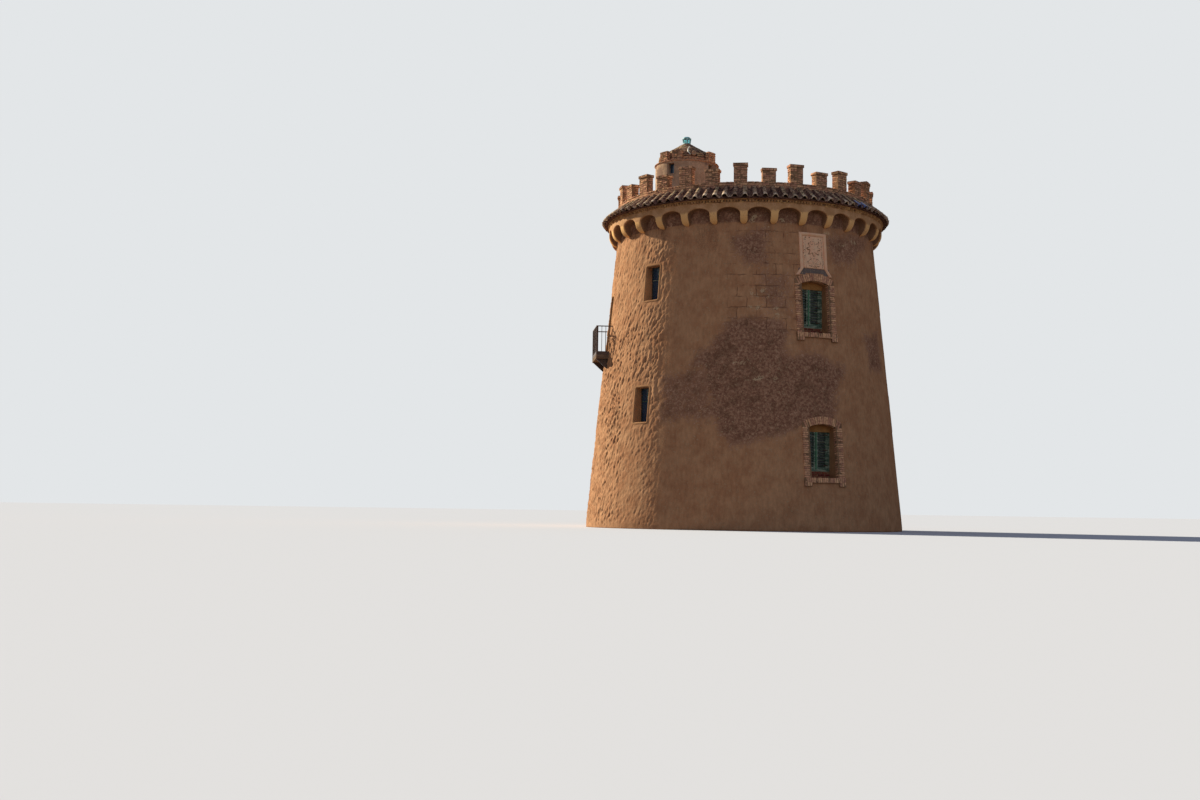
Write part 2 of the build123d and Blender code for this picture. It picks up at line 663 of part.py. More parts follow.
def turret_door():
    """Plank door halfway through the turret wall."""
    half = TURRET_DOOR_WIDTH / 2
    clear = sqrt((TURRET_RADIUS - TURRET_WALL) ** 2 - half * half)
    leaf = block(TURRET_DOOR_WIDTH, TERRACE, TERRACE + TURRET_DOOR_HEIGHT,
                 clear, clear + DOOR_THICKNESS)
    return Rot(0, 0, TURRET_DOOR_AZIMUTH) * leaf


def turret_panes():
    outer = TURRET_RADIUS - TURRET_SLIT_PANE_SETBACK
    return turret_slit_block(outer - PANE_THICKNESS, outer)


def turret_cornice():
    return ring_sector([
        (TURRET_RADIUS - TURRET_WALL, TURRET_EAVE),
        (TURRET_RADIUS, TURRET_EAVE),
        (TURRET_RADIUS + TURRET_CORNICE_OVERSAIL, TURRET_EAVE + TURRET_CORNICE_HEIGHT / 2),
        (TURRET_RADIUS + TURRET_CORNICE_OVERSAIL, TURRET_CORNICE_TOP),
        (TURRET_RADIUS - TURRET_WALL, TURRET_CORNICE_TOP),
    ], 0, 360)


def turret_roof():
    """Low masonry cone on a short attic drum, hollow underneath."""
    spring = TURRET_CORNICE_TOP + TURRET_ATTIC_HEIGHT
    seat = TURRET_ROOF_RISE * LANTERN_BASE_RADIUS / TURRET_ATTIC_RADIUS
    return ring_sector([
        (TURRET_ATTIC_RADIUS - TURRET_ROOF_SHELL, TURRET_CORNICE_TOP),
        (TURRET_ATTIC_RADIUS, TURRET_CORNICE_TOP),
        (TURRET_ATTIC_RADIUS, spring),
        (LANTERN_BASE_RADIUS, TURRET_APEX - seat),
        (0, TURRET_APEX - seat),
        (0, TURRET_APEX - TURRET_ROOF_SHELL - seat),
        (TURRET_ATTIC_RADIUS - TURRET_ROOF_SHELL, spring - TURRET_ROOF_SHELL / 2),
    ], 0, 360)


def turret_merlons():
    outer = TURRET_RADIUS + TURRET_CORNICE_OVERSAIL / 2
    stone = merlon_block(outer, TURRET_MERLON_WIDTH, TURRET_MERLON_DEPTH,
                         TURRET_CORNICE_TOP, TURRET_MERLON_HEIGHT)
    return [Rot(0, 0, azimuth) * stone for azimuth in TURRET_MERLON_AZIMUTHS]


def lantern_stage(radius, low, height, top_radius):
    """Tapered stage of the lantern, with as many sides as its glass."""
    foot = Pos(0, 0, low) * RegularPolygon(radius, LANTERN_SIDES)
    head = Pos(0, 0, low + height) * RegularPolygon(top_radius, LANTERN_SIDES)
    return loft([foot, head])


def place_all(piece, places):
    """One copy of a piece, made for a sill height, at each azimuth."""
    return [Rot(0, 0, azimuth) * piece(sill) for azimuth, sill in places]


def save(name, shapes):
    solids = [solid for shape in shapes for solid in shape.solids()]
    export_step(Compound(children=solids), f"parts/{name}.step")


os.makedirs("parts", exist_ok=True)

for index, name in enumerate(SECTORS):
    start = SECTOR_START + SECTOR_SWEEP * index
    save(f"lower_wall_{name}", [cut_lower(lower_wall(start), start)])
    save(f"upper_wall_{name}", [cut_upper(upper_wall(start), start)])

save("ground_floor", [Cylinder(LOWER_ROOM_RADIUS, GROUND_FLOOR_THICKNESS,
                               align=(Align.CENTER, Align.CENTER, Align.MIN))])
save("upper_floor", [Pos(0, 0, LOWER_STOREY) * Cylinder(
    UPPER_ROOM_RADIUS, UPPER_FLOOR_THICKNESS, align=(Align.CENTER, Align.CENTER, Align.MIN))])
save("terrace_slab", [Pos(0, 0, WALL_HEAD) * Cylinder(
    HEAD_RADIUS, TERRACE_THICKNESS, align=(Align.CENTER, Align.CENTER, Align.MIN))])

save("corbel_arcade", corbel_arcade())
save("dentil_course", dentil_course())
save("tile_skirt", tile_skirt())
save("parapet", parapet())

tall = merlon_block(HEAD_RADIUS, MERLON_WIDTH, MERLON_DEPTH, PARAPET_TOP, TALL_MERLON_HEIGHT)
short = merlon_block(HEAD_RADIUS, MERLON_WIDTH, MERLON_DEPTH, PARAPET_TOP, SHORT_MERLON_HEIGHT)
save("short_merlons", [Rot(0, 0, azimuth) * short for azimuth in merlon_azimuths(0)])
save("tall_merlons", [Rot(0, 0, azimuth) * tall for azimuth in merlon_azimuths(1)])
short_cap = merlon_cap(PARAPET_TOP + SHORT_MERLON_HEIGHT)
tall_cap = merlon_cap(PARAPET_TOP + TALL_MERLON_HEIGHT)
save("merlon_caps", [Rot(0, 0, azimuth) * short_cap for azimuth in merlon_azimuths(0)]
     + [Rot(0, 0, azimuth) * tall_cap for azimuth in merlon_azimuths(1)])
save("embrasure_copings", embrasure_copings())

windows = [(azimuth, sill) for azimuth in WINDOW_AZIMUTHS
           for sill in (LOWER_WINDOW_SILL, UPPER_WINDOW_SILL)]
save("window_surrounds", place_all(window_surround, windows))
save("window_sills", place_all(window_sill, windows))
save("window_frames", place_all(window_frame, windows))
save("window_aprons", place_all(window_apron, windows))
left_leaves = place_all(lambda sill: shutter_leaf(sill, -1), windows)
right_leaves = place_all(lambda sill: shutter_leaf(sill, 1), windows)
save("shutters", left_leaves + right_leaves)
slits = [(azimuth, LOWER_SLIT_SILL) for azimuth in LOWER_SLIT_AZIMUTHS]
slits += [(azimuth, UPPER_SLIT_SILL) for azimuth in UPPER_SLIT_AZIMUTHS]
save("slit_frames", place_all(slit_frame, slits))
save("slit_panes", place_all(slit_pane, slits) + [turret_place(pane) for pane in turret_panes()])

save("panel_border", [Rot(0, 0, WINDOW_AZIMUTHS[0]) * panel_border()])
save("panel_slab", [Rot(0, 0, WINDOW_AZIMUTHS[0]) * panel_slab()])

save("balcony_slab", [Rot(0, 0, BALCONY_AZIMUTH) * balcony_slab()])
save("balcony_brackets", [Rot(0, 0, BALCONY_AZIMUTH) * plate for plate in balcony_brackets()])
railing = [balcony_rail_front()] + balcony_rail_sides()
save("balcony_railing", [Rot(0, 0, BALCONY_AZIMUTH) * panel for panel in railing])
save("balcony_door", [Rot(0, 0, BALCONY_AZIMUTH) * balcony_door()])
save("entrance_door", [Rot(0, 0, ENTRANCE_AZIMUTH) * entrance_door()])
save("entrance_surround", [Rot(0, 0, ENTRANCE_AZIMUTH) * entrance_surround()])

save("turret_wall", [turret_place(turret_wall())])
save("turret_door", [turret_place(turret_door())])
save("turret_cornice", [turret_place(turret_cornice())])
save("turret_roof", [turret_place(turret_roof())])
save("turret_merlons", [turret_place(stone) for stone in turret_merlons()])

lantern_foot = TURRET_APEX - TURRET_ROOF_RISE * LANTERN_BASE_RADIUS / TURRET_ATTIC_RADIUS
glass_foot = lantern_foot + LANTERN_BASE_HEIGHT
cap_foot = glass_foot + LANTERN_HEIGHT
lantern_base = lantern_stage(LANTERN_BASE_RADIUS, lantern_foot, LANTERN_BASE_HEIGHT, LANTERN_NECK)
lantern_glass = lantern_stage(LANTERN_NECK, glass_foot, LANTERN_HEIGHT, LANTERN_RADIUS)
lantern_cap = lantern_stage(LANTERN_RADIUS, cap_foot, LANTERN_CAP_HEIGHT, LANTERN_CAP_RADIUS)
save("lantern_fittings", [turret_place(lantern_base), turret_place(lantern_cap)])
save("lantern_glass", [turret_place(lantern_glass)])
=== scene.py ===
from itertools import product
from types import SimpleNamespace

import bmesh
import bpy
import numpy as np
from mathutils import Matrix, Vector


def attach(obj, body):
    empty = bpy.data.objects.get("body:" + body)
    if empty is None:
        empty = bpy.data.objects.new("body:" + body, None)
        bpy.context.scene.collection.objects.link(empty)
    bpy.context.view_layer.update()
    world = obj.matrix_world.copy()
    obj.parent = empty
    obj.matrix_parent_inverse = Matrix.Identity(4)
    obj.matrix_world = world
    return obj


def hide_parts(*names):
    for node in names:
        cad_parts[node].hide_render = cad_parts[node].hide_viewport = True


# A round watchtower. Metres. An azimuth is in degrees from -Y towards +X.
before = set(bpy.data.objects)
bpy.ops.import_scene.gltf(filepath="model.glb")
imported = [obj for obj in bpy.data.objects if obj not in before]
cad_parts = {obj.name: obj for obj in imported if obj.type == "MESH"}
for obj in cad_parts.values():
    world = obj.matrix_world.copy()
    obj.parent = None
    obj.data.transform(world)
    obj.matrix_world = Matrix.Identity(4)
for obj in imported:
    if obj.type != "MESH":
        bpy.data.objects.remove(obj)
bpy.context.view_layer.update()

# Camera
# It stands where the photograph was taken: 49 m out and 0.6 m above the tower's foot,
# tilted up and slightly rolled.
EYE = (-5.0468, -49.2111, 0.6)
TILT = 0.0782
ROLL = 0.014
lens = bpy.data.cameras.new("photo_view")
lens.lens = 42.0
lens.sensor_width = 36.0
lens.sensor_fit = "HORIZONTAL"
lens.clip_end = 2000.0
camera = bpy.data.objects.new("photo_view", lens)
level_up = np.array([0.0, -np.sin(TILT), np.cos(TILT)])
ahead = np.array([0.0, np.cos(TILT), np.sin(TILT)])
sideways = np.array([1.0, 0.0, 0.0])
rolled_right = np.cos(ROLL) * sideways + np.sin(ROLL) * level_up
rolled_up = -np.sin(ROLL) * sideways + np.cos(ROLL) * level_up
turn = np.eye(4)
turn[:3, 0], turn[:3, 1], turn[:3, 2], turn[:3, 3] = rolled_right, rolled_up, -ahead, EYE
camera.matrix_world = Matrix(turn.tolist())
bpy.context.scene.collection.objects.link(camera)
bpy.context.scene.camera = camera
bpy.context.scene.view_settings.view_transform = "Standard"

# Studio
# A pale floor and a pale surround. A low soft key stands behind the left shoulder of the
# tower, where the light comes from in the photograph, with a broad weak fill in front.
KEY_AZIMUTH, KEY_HEIGHT, KEY_STRENGTH, KEY_SOFTNESS = -127.0, 27.0, 6.6, 0.03
FILL_AZIMUTH, FILL_HEIGHT, FILL_STRENGTH, FILL_SOFTNESS = 10.0, 20.0, 0.25, 0.9
SURROUND_LIGHT = 0.245
FLOOR_RINGS, FLOOR_SIDES = (900.0, 20.0, 0.0), 48


def linear(code):
    """Linear colour of an sRGB hex value: each channel over 255, put through the sRGB curve."""
    parts = np.array([int(code[i:i + 2], 16) / 255 for i in (1, 3, 5)])
    curved = np.where(parts <= 0.04045, parts / 12.92, ((parts + 0.055) / 1.055) ** 2.4)
    return (*curved.tolist(), 1.0)


def add(tree, kind, inputs=(), **settings):
    """Adds a node with its settings, and gives each named or numbered input a value or link."""
    made = tree.nodes.new(kind)
    for key, value in settings.items():
        setattr(made, key, value)
    for key, value in dict(inputs).items():
        if isinstance(value, bpy.types.NodeSocket):
            tree.links.new(value, made.inputs[key])
        else:
            made.inputs[key].default_value = value
    return made


def shown_only(tree):
    """1 for what the camera, a mirror or glass sees, 0 for light that only bounces."""
    path = add(tree, "ShaderNodeLightPath").outputs
    mirror = add(tree, "ShaderNodeMath", {0: path["Is Camera Ray"], 1: path["Is Glossy Ray"]},
                 operation="MAXIMUM").outputs[0]
    return add(tree, "ShaderNodeMath", {0: mirror, 1: path["Is Transmission Ray"]},
               operation="MAXIMUM").outputs[0]


def lamp(name, azimuth, height, strength, softness, colour):
    """Distant lamp whose light comes from an azimuth and a height in degrees."""
    around, up = np.radians(azimuth), np.radians(height)
    source = Vector((np.sin(around) * np.cos(up), -np.cos(around) * np.cos(up), np.sin(up)))
    light = bpy.data.lights.new(name, "SUN")
    light.energy = strength
    light.angle = softness
    light.color = linear(colour)[:3]
    placed = bpy.data.objects.new(name, light)
    placed.rotation_mode = "QUATERNION"
    placed.rotation_quaternion = source.to_track_quat("Z", "Y")
    bpy.context.scene.collection.objects.link(placed)


lamp("key", KEY_AZIMUTH, KEY_HEIGHT, KEY_STRENGTH, KEY_SOFTNESS, "#FFF8E6")
lamp("fill", FILL_AZIMUTH, FILL_HEIGHT, FILL_STRENGTH, FILL_SOFTNESS, "#EAF2FF")

world = bpy.data.worlds.new("studio")
bpy.context.scene.world = world
world.use_nodes = True
world.node_tree.nodes.clear()
glow = add(world.node_tree, "ShaderNodeBackground",
           {"Color": linear("#D5E2FF"), "Strength": SURROUND_LIGHT})
backdrop = add(world.node_tree, "ShaderNodeBackground",
               {"Color": linear("#E3E6E8"), "Strength": 1.0})
either = add(world.node_tree, "ShaderNodeMixShader",
             {0: shown_only(world.node_tree), 1: glow.outputs[0], 2: backdrop.outputs[0]})
add(world.node_tree, "ShaderNodeOutputWorld", {"Surface": either.outputs[0]})


def grid_faces(rows, columns, closed=False):
    """Quads between the points of a grid, row by row. A closed grid joins its last column
    to its first. They face outwards when rows rise and columns run anticlockwise."""
    index = np.arange(rows * columns).reshape(rows, columns)
    if closed:
        index = np.concatenate((index, index[:, :1]), axis=1)
    corners = (index[:-1, :-1], index[:-1, 1:], index[1:, 1:], index[1:, :-1])
    return np.stack(corners, axis=-1).reshape(-1, 4)


def polar(azimuth, radius, height):
    """Point at a distance from the axis: x = radius sin azimuth, y = -radius cos azimuth."""
    angle = np.radians(azimuth)
    x, y, z = np.broadcast_arrays(radius * np.sin(angle), -radius * np.cos(angle), height)
    return np.stack((x, y, z), axis=-1)


def mesh_of(name, points, faces, smooth):
    """Mesh from an array of points and one or more arrays of faces."""
    sizes = np.concatenate([np.full(len(some), some.shape[1]) for some in faces])
    corners = np.concatenate([some.ravel() for some in faces])
    mesh = bpy.data.meshes.new(name)
    mesh.vertices.add(len(points))
    mesh.vertices.foreach_set("co", np.ascontiguousarray(points, dtype=np.float32).ravel())
    mesh.loops.add(len(corners))
    mesh.loops.foreach_set("vertex_index", corners.astype(np.int32))
    mesh.polygons.add(len(sizes))
    mesh.polygons.foreach_set("loop_start", (np.cumsum(sizes) - sizes).astype(np.int32))
    mesh.polygons.foreach_set("use_smooth", np.full(len(sizes), smooth))
    mesh.update(calc_edges=True)
    return mesh


floor_points = polar(np.linspace(0, 360, FLOOR_SIDES, endpoint=False),
                     np.array(FLOOR_RINGS)[:, None], 0.0)
floor_material = bpy.data.materials.new("studio_floor_paint")
floor_material.use_nodes = True
paint = floor_material.node_tree
paint.nodes.clear()
pale_floor = add(paint, "ShaderNodeBsdfDiffuse", {"Color": linear("#D6D7DC")})
dim_floor = add(paint, "ShaderNodeBsdfDiffuse", {"Color": linear("#7A706A")})
floor_mix = add(paint, "ShaderNodeMixShader",
                {0: shown_only(paint), 1: dim_floor.outputs[0], 2: pale_floor.outputs[0]})
add(paint, "ShaderNodeOutputMaterial", {"Surface": floor_mix.outputs[0]})
floor_faces = grid_faces(len(FLOOR_RINGS), FLOOR_SIDES, closed=True)
floor = bpy.data.objects.new("studio_floor", mesh_of(
    "studio_floor", floor_points.reshape(-1, 3), [floor_faces], False))
floor.data.materials.append(floor_material)
bpy.context.scene.collection.objects.link(floor)

# Tower wall
# Rubble masonry under lime render, thrown on and drawn upwards with the trowel in thick
# strokes. Where the top coat has gone a darker, coarser coat shows, with lines of old joints.
BASE_RADIUS = 5.47
BATTER = 0.1001
WALL_HEAD = 9.9
HEAD_RADIUS = BASE_RADIUS - BATTER * WALL_HEAD
COAT_TOP = 10.52
COAT = 0.013
THINNEST, THICKEST = 0.001, 0.045
# Patterns on the wall are laid out on it unrolled at this radius.
UNROLL_RADIUS = 5.0
# Where the openings are, as azimuth and sill height. The first pair of windows is the seen one.
WINDOW_AZIMUTHS, WINDOW_SILLS = (23.5, 143.5), (1.69, 6.36)
WINDOWS = tuple(product(WINDOW_AZIMUTHS, WINDOW_SILLS))
SLITS = ((-46.8, 3.47), (-46.3, 7.54), (83.0, 3.47), (83.0, 7.54), (203.0, 7.54))
SLIT_WIDTH, SLIT_HEIGHT, SLIT_SETBACK = 0.6, 1.15, 0.29
BALCONY_AZIMUTH, BALCONY_FLOOR = -85.0, 5.93
BALCONY_DOOR = (0.9, 2.05, 0.08)
ENTRANCE_AZIMUTH, ENTRANCE_WIDTH, ENTRANCE_SPRING = 180.0, 1.2, 1.9


def wall_radius(height):
    """Radius of the wall face: base radius less the batter, and upright over the wall head."""
    return BASE_RADIUS - BATTER * np.minimum(height, WALL_HEAD)


def lattice(points, seed):
    """Random values from -1 to 1 on a unit lattice, blended by smooth steps between the
    eight lattice points round each place."""
    base = np.floor(points).astype(np.int64)
    part = points - base
    part = part * part * (3 - 2 * part)
    total = np.zeros(points.shape[:-1])
    for corner in product((0, 1), repeat=3):
        cell = base + np.array(corner)
        key = cell[..., 0] * 73856093 ^ cell[..., 1] * 19349663 ^ cell[..., 2] * 83492791
        key = (key ^ seed * 9176) * 1274126177 & 0x7FFFFFFF
        key = (key ^ key >> 15) * 668265263 & 0x7FFFFFFF
        value = (key >> 7 & 0xFFFF) / 32767.5 - 1
        total += value * np.prod(np.where(corner, part, 1 - part), axis=-1)
    return total


def uneven(points, size, seed, octaves=3, stretch=1.0):
    """Sum of lattice fields, each half as coarse and half as high as the one before. The
    stretch makes the marks that many times longer upright."""
    scaled = points / (size * np.array([1.0, 1.0, stretch]))
    total = sum(0.5 ** n * lattice(scaled * 2.0 ** n, seed + n) for n in range(octaves))
    return total / (2 - 0.5 ** (octaves - 1))


def strokes(azimuth, height, wide, tall, seed):
    """Trowel strokes: 1 on the crests, where a random field crosses zero, and less between
    them. The field is drawn out upright and bent by a coarser one."""
    around = np.radians(azimuth) * UNROLL_RADIUS
    flat = np.stack((around, np.zeros_like(around), height), axis=-1)
    bend = 1.1 * lattice(flat / (3 * wide, 1.0, 2 * tall), seed + 1)
    sway = 0.7 * lattice(flat / (4 * wide, 1.0, 1.5 * tall), seed + 2)
    field = lattice(np.stack((around / wide + bend, sway, height / tall + sway), axis=-1), seed)
    return 1 - 2 * np.sqrt(field ** 2 + 0.004)


def lumps(azimuth, height, wide, tall, seed):
    """Lumps of thrown render: two lattice fields, the second half as high and twice as fine,
    drawn out along a line that leans 20 degrees from upright towards larger azimuths."""
    around = np.radians(azimuth) * UNROLL_RADIUS
    lean = np.radians(20.0)
    beside = (around * np.cos(lean) - height * np.sin(lean)) / wide
    along = (around * np.sin(lean) + height * np.cos(lean)) / tall
    place = np.stack((beside, np.zeros_like(beside), along), axis=-1)
    return lattice(place, seed) + 0.5 * lattice(2 * place, seed + 1)


def reach_inside(azimuth, height, outline):
    """Distance to an outline's nearest edge, in metres of the unrolled wall: above 0 inside
    the outline, and below 0 outside it."""
    around = np.radians(azimuth) * UNROLL_RADIUS
    corners = np.array(outline) * (np.radians(1.0) * UNROLL_RADIUS, 1.0)
    nearest = np.full(around.shape, 1e9)
    inside = np.zeros(around.shape, bool)
    for (left, low), (right, high) in zip(corners, np.roll(corners, -1, axis=0)):
        run, rise = right - left, high - low
        share = ((around - left) * run + (height - low) * rise) / (run ** 2 + rise ** 2)
        share = np.clip(share, 0, 1)
        away = np.hypot(around - left - share * run, height - low - share * rise)
        nearest = np.minimum(nearest, away)
        spanned = (low > height) != (high > height)
        crossing = left + run * (height - low) / (rise if abs(rise) > 1e-9 else 1e-9)
        inside ^= spanned & (around < crossing)
    return np.where(inside, nearest, -nearest)


def stations(breaks, step):
    """Numbers from the first break to the last, about a step apart, through every break."""
    runs = [np.linspace(a, b, max(1, round((b - a) / step)), endpoint=False)
            for a, b in zip(breaks, breaks[1:])]
    return np.concatenate(runs + [np.array(breaks[-1:])])


# Outlines of bare undercoat as (azimuth, height), each with how bare it is.
BARE_COAT = (
    (1.0, ((-24.4, 5.69), (-18.3, 5.87), (-15.4, 6.32), (-11, 6.77), (-4.2, 6.84), (3.3, 6.78),
           (8.7, 6.73), (10.9, 6.34), (10.7, 5.82), (13.8, 5.64), (24.6, 5.75), (30.8, 5.46),
           (36.3, 5.43), (35.8, 5.03), (30.7, 4.41), (29.9, 3.57), (15, 3.26), (3.5, 2.92),
           (-10.2, 2.66), (-14.5, 3.1), (-16, 3.58), (-19, 3.7), (-20.3, 5.16), (-25.8, 5.3))),
    (0.7, ((-15, 3.42), (-38, 3.45), (-38.5, 5.0), (-29, 5.05), (-20, 5.3), (-15, 4.6))),
    (0.85, ((-12.4, 9.55), (3.8, 9.9), (3.6, 8.55), (-5, 8.48), (-11.4, 9.02))),
    (0.6, ((0.4, 8.28), (13.4, 8.45), (12.7, 6.94), (3.3, 6.84), (0.4, 7.49))),
    (0.75, ((30, 9.77), (65.7, 10.07), (48.6, 8.81), (34.1, 8.6), (30.3, 9.03))),
    (0.8, ((48.6, 6.58), (62.7, 6.72), (65.1, 5.24), (50.5, 5.26))),
)
# Outlines where the lit coat was floated smooth.
FLOATED = (((-61, 4.7), (-55, 4.95), (-42.5, 4.8), (-41, 3.3), (-39, 0.4), (-52, 0.2), (-57, 3.0)),
           ((-88, 9.9), (-88, 6.9), (-66, 6.7), (-60, 7.3), (-56, 7.7), (-55, 9.9)))
# Flakes with pale stone behind, as azimuth, height, half width and half height.
FLAKES = ((-2.0, 10.1, 0.3, 0.16), (-4.5, 9.8, 0.22, 0.1), (11.0, 10.03, 0.22, 0.08),
          (4.0, 9.84, 0.2, 0.07), (31.0, 9.72, 0.22, 0.08), (35.0, 9.6, 0.2, 0.07),
          (41.0, 9.45, 0.24, 0.07), (47.0, 9.6, 0.16, 0.1), (1.0, 4.8, 0.5, 0.12),
          (-8.0, 5.3, 0.4, 0.08), (9.0, 4.4, 0.3, 0.06), (1.5, 7.6, 0.4, 0.16),
          (-1.5, 7.15, 0.3, 0.08), (6.5, 7.0, 0.22, 0.16))
# Dark band on the wall between the panel window's arch and the panel over it.
BAND_SPRING, BAND_RISE, BAND_ARCH, BAND_HALF, BAND_TOP = 8.17, 0.15, 0.75, 0.6, 8.5
# The raked plaster starts left of the first azimuth and has gone by the second. The hidden
# side, which repeats the bare patches at random, starts at the third, on both sides.
RAKED_FROM, RAKED_UNTIL, HIDDEN_FROM = -35.0, -130.0, 78.0
# Under the arches the wall never had its top coat.
BEHIND_ARCHES = 9.93


def coat_fields(azimuth, height):
    """Fields of the render coat at each place: bare undercoat, flakes, rain stains, the dark band
    over the panel window, and painted shade with some dirt in the hollows and behind the
    arches; then the coat's thickness, which is an even coat with the relief of strokes and
    lumps on it, less the flakes."""
    azimuth = (azimuth + 180) % 360 - 180
    points = polar(azimuth, wall_radius(height), height)
    ragged = uneven(points, 0.7, 11, octaves=5)
    bare = np.zeros_like(azimuth)
    for share, outline in BARE_COAT:
        edge = reach_inside(azimuth, height, outline) + 0.25 * ragged
        bare = np.maximum(bare, share * np.clip(edge / 0.6 + 0.5, 0, 1))
    unseen = np.clip((np.abs(azimuth) - HIDDEN_FROM) / 8, 0, 1)
    spread = np.clip((uneven(points, 2.3, 21, octaves=5) - 0.1) / 0.16, 0, 0.9)
    bare = np.maximum(bare, unseen * spread)
    flake = np.zeros_like(bare)
    for middle, level, wide, tall in FLAKES:
        across = np.radians(azimuth - middle) * UNROLL_RADIUS / wide
        away = np.hypot(across, (height - level) / tall)
        flake = np.maximum(flake, np.clip(1.4 - away + ragged, 0, 1))
    flake = flake * np.clip(uneven(points, 0.13, 31) * 7 - 0.6, 0, 1)

    # Rain runs, and the band over the panel window.
    runs = uneven(points, 0.3, 41, octaves=3, stretch=9.0)
    under_top = np.clip((height - 8.0) / 2.0, 0, 1)
    stain = np.clip(runs * 1.5 * (0.3 + under_top) + 0.3 * under_top, 0, 1)
    across = np.radians((azimuth - WINDOW_AZIMUTHS[0] + 180) % 360 - 180) * wall_radius(height)
    arch = BAND_SPRING + BAND_RISE * np.sqrt(np.clip(1 - (across / BAND_ARCH) ** 2, 0, 1))
    slate = ((np.abs(across) < BAND_HALF) & (height > arch) & (height < BAND_TOP)).astype(float)

    # Relief, smoothed round the slits and where the coat was floated.
    opening = np.full(azimuth.shape, 9.0)
    for middle, sill in SLITS:
        beside = np.abs(np.radians((azimuth - middle + 180) % 360 - 180)) * wall_radius(height)
        above = np.abs(height - sill - SLIT_HEIGHT / 2) - SLIT_HEIGHT / 2
        opening = np.minimum(opening, np.maximum(beside - SLIT_WIDTH / 2, above))
    faded = np.clip((azimuth - RAKED_UNTIL) / 25, 0, 1)
    drawn = np.clip((RAKED_FROM - azimuth + 2 * ragged) / 6, 0, 1) * faded
    drawn = np.maximum(drawn, 0.3 * unseen * np.clip((180 - np.abs(azimuth)) / 4, 0, 1))
    for outline in FLOATED:
        inside = reach_inside(azimuth, height, outline) + 0.2 * ragged
        drawn = drawn * (1 - 0.42 * np.clip(inside / 0.3 + 0.5, 0, 1))
    drawn = drawn * (0.75 + 0.5 * uneven(points, 1.3, 55)) * np.clip((opening - 0.02) / 0.16, 0, 1)
    raked = 1 + 0.8 * np.clip((-52 - azimuth) / 15, 0, 1) * faded
    relief = drawn * (0.019 * raked * lumps(azimuth, height, 0.065, 0.125, 51)
                      + 0.006 * strokes(azimuth, height, 0.2, 0.45, 57)
                      + 0.01 * uneven(points, 0.5, 54))
    behind_arches = np.clip((height - BEHIND_ARCHES) / 0.05, 0, 1)
    bare = np.maximum(bare, behind_arches)
    clods = uneven(points, 0.2, 81, octaves=3)
    relief = relief + bare * (0.007 * clods - 0.003) + 0.003 * uneven(points, 0.6, 71)
    # Painted shade with some dirt: darker in the relief's hollows, between clods and behind the
    # arches.
    hollow_shade_and_dirt = np.clip(0.4 - 60 * drawn * relief - 1.6 * bare * clods + 0.5 * behind_arches, 0, 1)
    thick = COAT + 0.004 * uneven(points, 1.9, 61) + relief - 0.012 * flake
    thick = np.where(np.abs(azimuth + 60) < 65, thick + 0.006 * drawn, thick)
    thick = np.minimum(np.clip(thick, THINNEST, THICKEST), 0.1 * height - 0.0004)
    return {"undercoat": bare, "flake": flake, "stain": stain, "slate": slate,
            "hollow_shade_and_dirt": hollow_shade_and_dirt}, thick


def cut_out(azimuth, height):
    """True where the coat is left out for an opening. Its edge lies behind the brick
    surround or the plaster lining that frames the opening."""
    radius = wall_radius(height)
    tuck = 0.04

    def across(middle):
        """Distance across from an azimuth's upright plane, and far away behind the axis."""
        turned = np.radians(azimuth - middle)
        return np.abs(np.sin(turned) * radius) + 9 * (np.cos(turned) < 0)

    gone = np.zeros(azimuth.shape, bool)
    for middle, sill in SLITS:
        gone |= (across(middle) < SLIT_WIDTH / 2 + tuck) & (
            np.abs(height - sill - SLIT_HEIGHT / 2) < SLIT_HEIGHT / 2 + tuck)
    for middle, sill in WINDOWS:
        gone |= (across(middle) < 0.62) & (height > sill - 0.06) & (height < sill + 1.8)
    wide, tall, rise = BALCONY_DOOR
    gone |= (across(BALCONY_AZIMUTH) < wide / 2 + tuck) & (height > BALCONY_FLOOR - 0.06) & (
        height < BALCONY_FLOOR + tall + rise + 0.02)
    head = np.hypot(across(ENTRANCE_AZIMUTH), np.maximum(height - ENTRANCE_SPRING, 0))
    return gone | (head < ENTRANCE_WIDTH / 2 + 0.12)


def put(name, parts, replaced=(), smooth=False, closed=True, fields=None):
    """One piece of the tower from parts of (points, faces, material, tone). Parts keep
    their own material, and tone is a number per point that varies it from brick to brick."""
    points = np.concatenate([part[0].reshape(-1, 3) for part in parts])
    faces, numbers, start = [], [], 0
    for number, (shape, some, _, _) in enumerate(parts):
        for array in some:
            faces.append(array + start)
            numbers.append(np.full(len(array), number))
        start += shape.reshape(-1, 3).shape[0]
    mesh = mesh_of(name, points, faces, smooth)
    for part in parts:
        mesh.materials.append(part[2])
    mesh.polygons.foreach_set("material_index", np.concatenate(numbers).astype(np.int32))
    tones = np.concatenate([np.broadcast_to(part[3], part[0].reshape(-1, 3).shape[:1])
                            for part in parts])
    for label, values in {"tone": tones, **(fields or {})}.items():
        mesh.attributes.new(label, "FLOAT", "POINT").data.foreach_set(
            "value", np.ascontiguousarray(values, dtype=np.float32).ravel())
    if closed:
        shell = bmesh.new()
        shell.from_mesh(mesh)
        bmesh.ops.remove_doubles(shell, verts=shell.verts, dist=1e-5)
        bmesh.ops.recalc_face_normals(shell, faces=shell.faces)
        shell.to_mesh(mesh)
        shell.free()
    made = bpy.data.objects.new(name, mesh)
    bpy.context.scene.collection.objects.link(made)
    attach(made, "root")
    if replaced:
        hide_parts(*replaced)
    return made


def dress(material, *names):
    """Gives CAD nodes their finish."""
    for name in names:
        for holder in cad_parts[name].material_slots:
            holder.material = material


def laid_over(tree, under, colour, value, low, high, most=1.0):
    """Lays a colour over another where a value climbs from low to high, and at most so
    strongly."""
    share = add(tree, "ShaderNodeMapRange", {
        "Value": value, "From Min": low, "From Max": high, "To Max": most}).outputs[0]
    return add(tree, "ShaderNodeMix", {0: share, 6: under, 7: colour},
               data_type="RGBA").outputs[2]


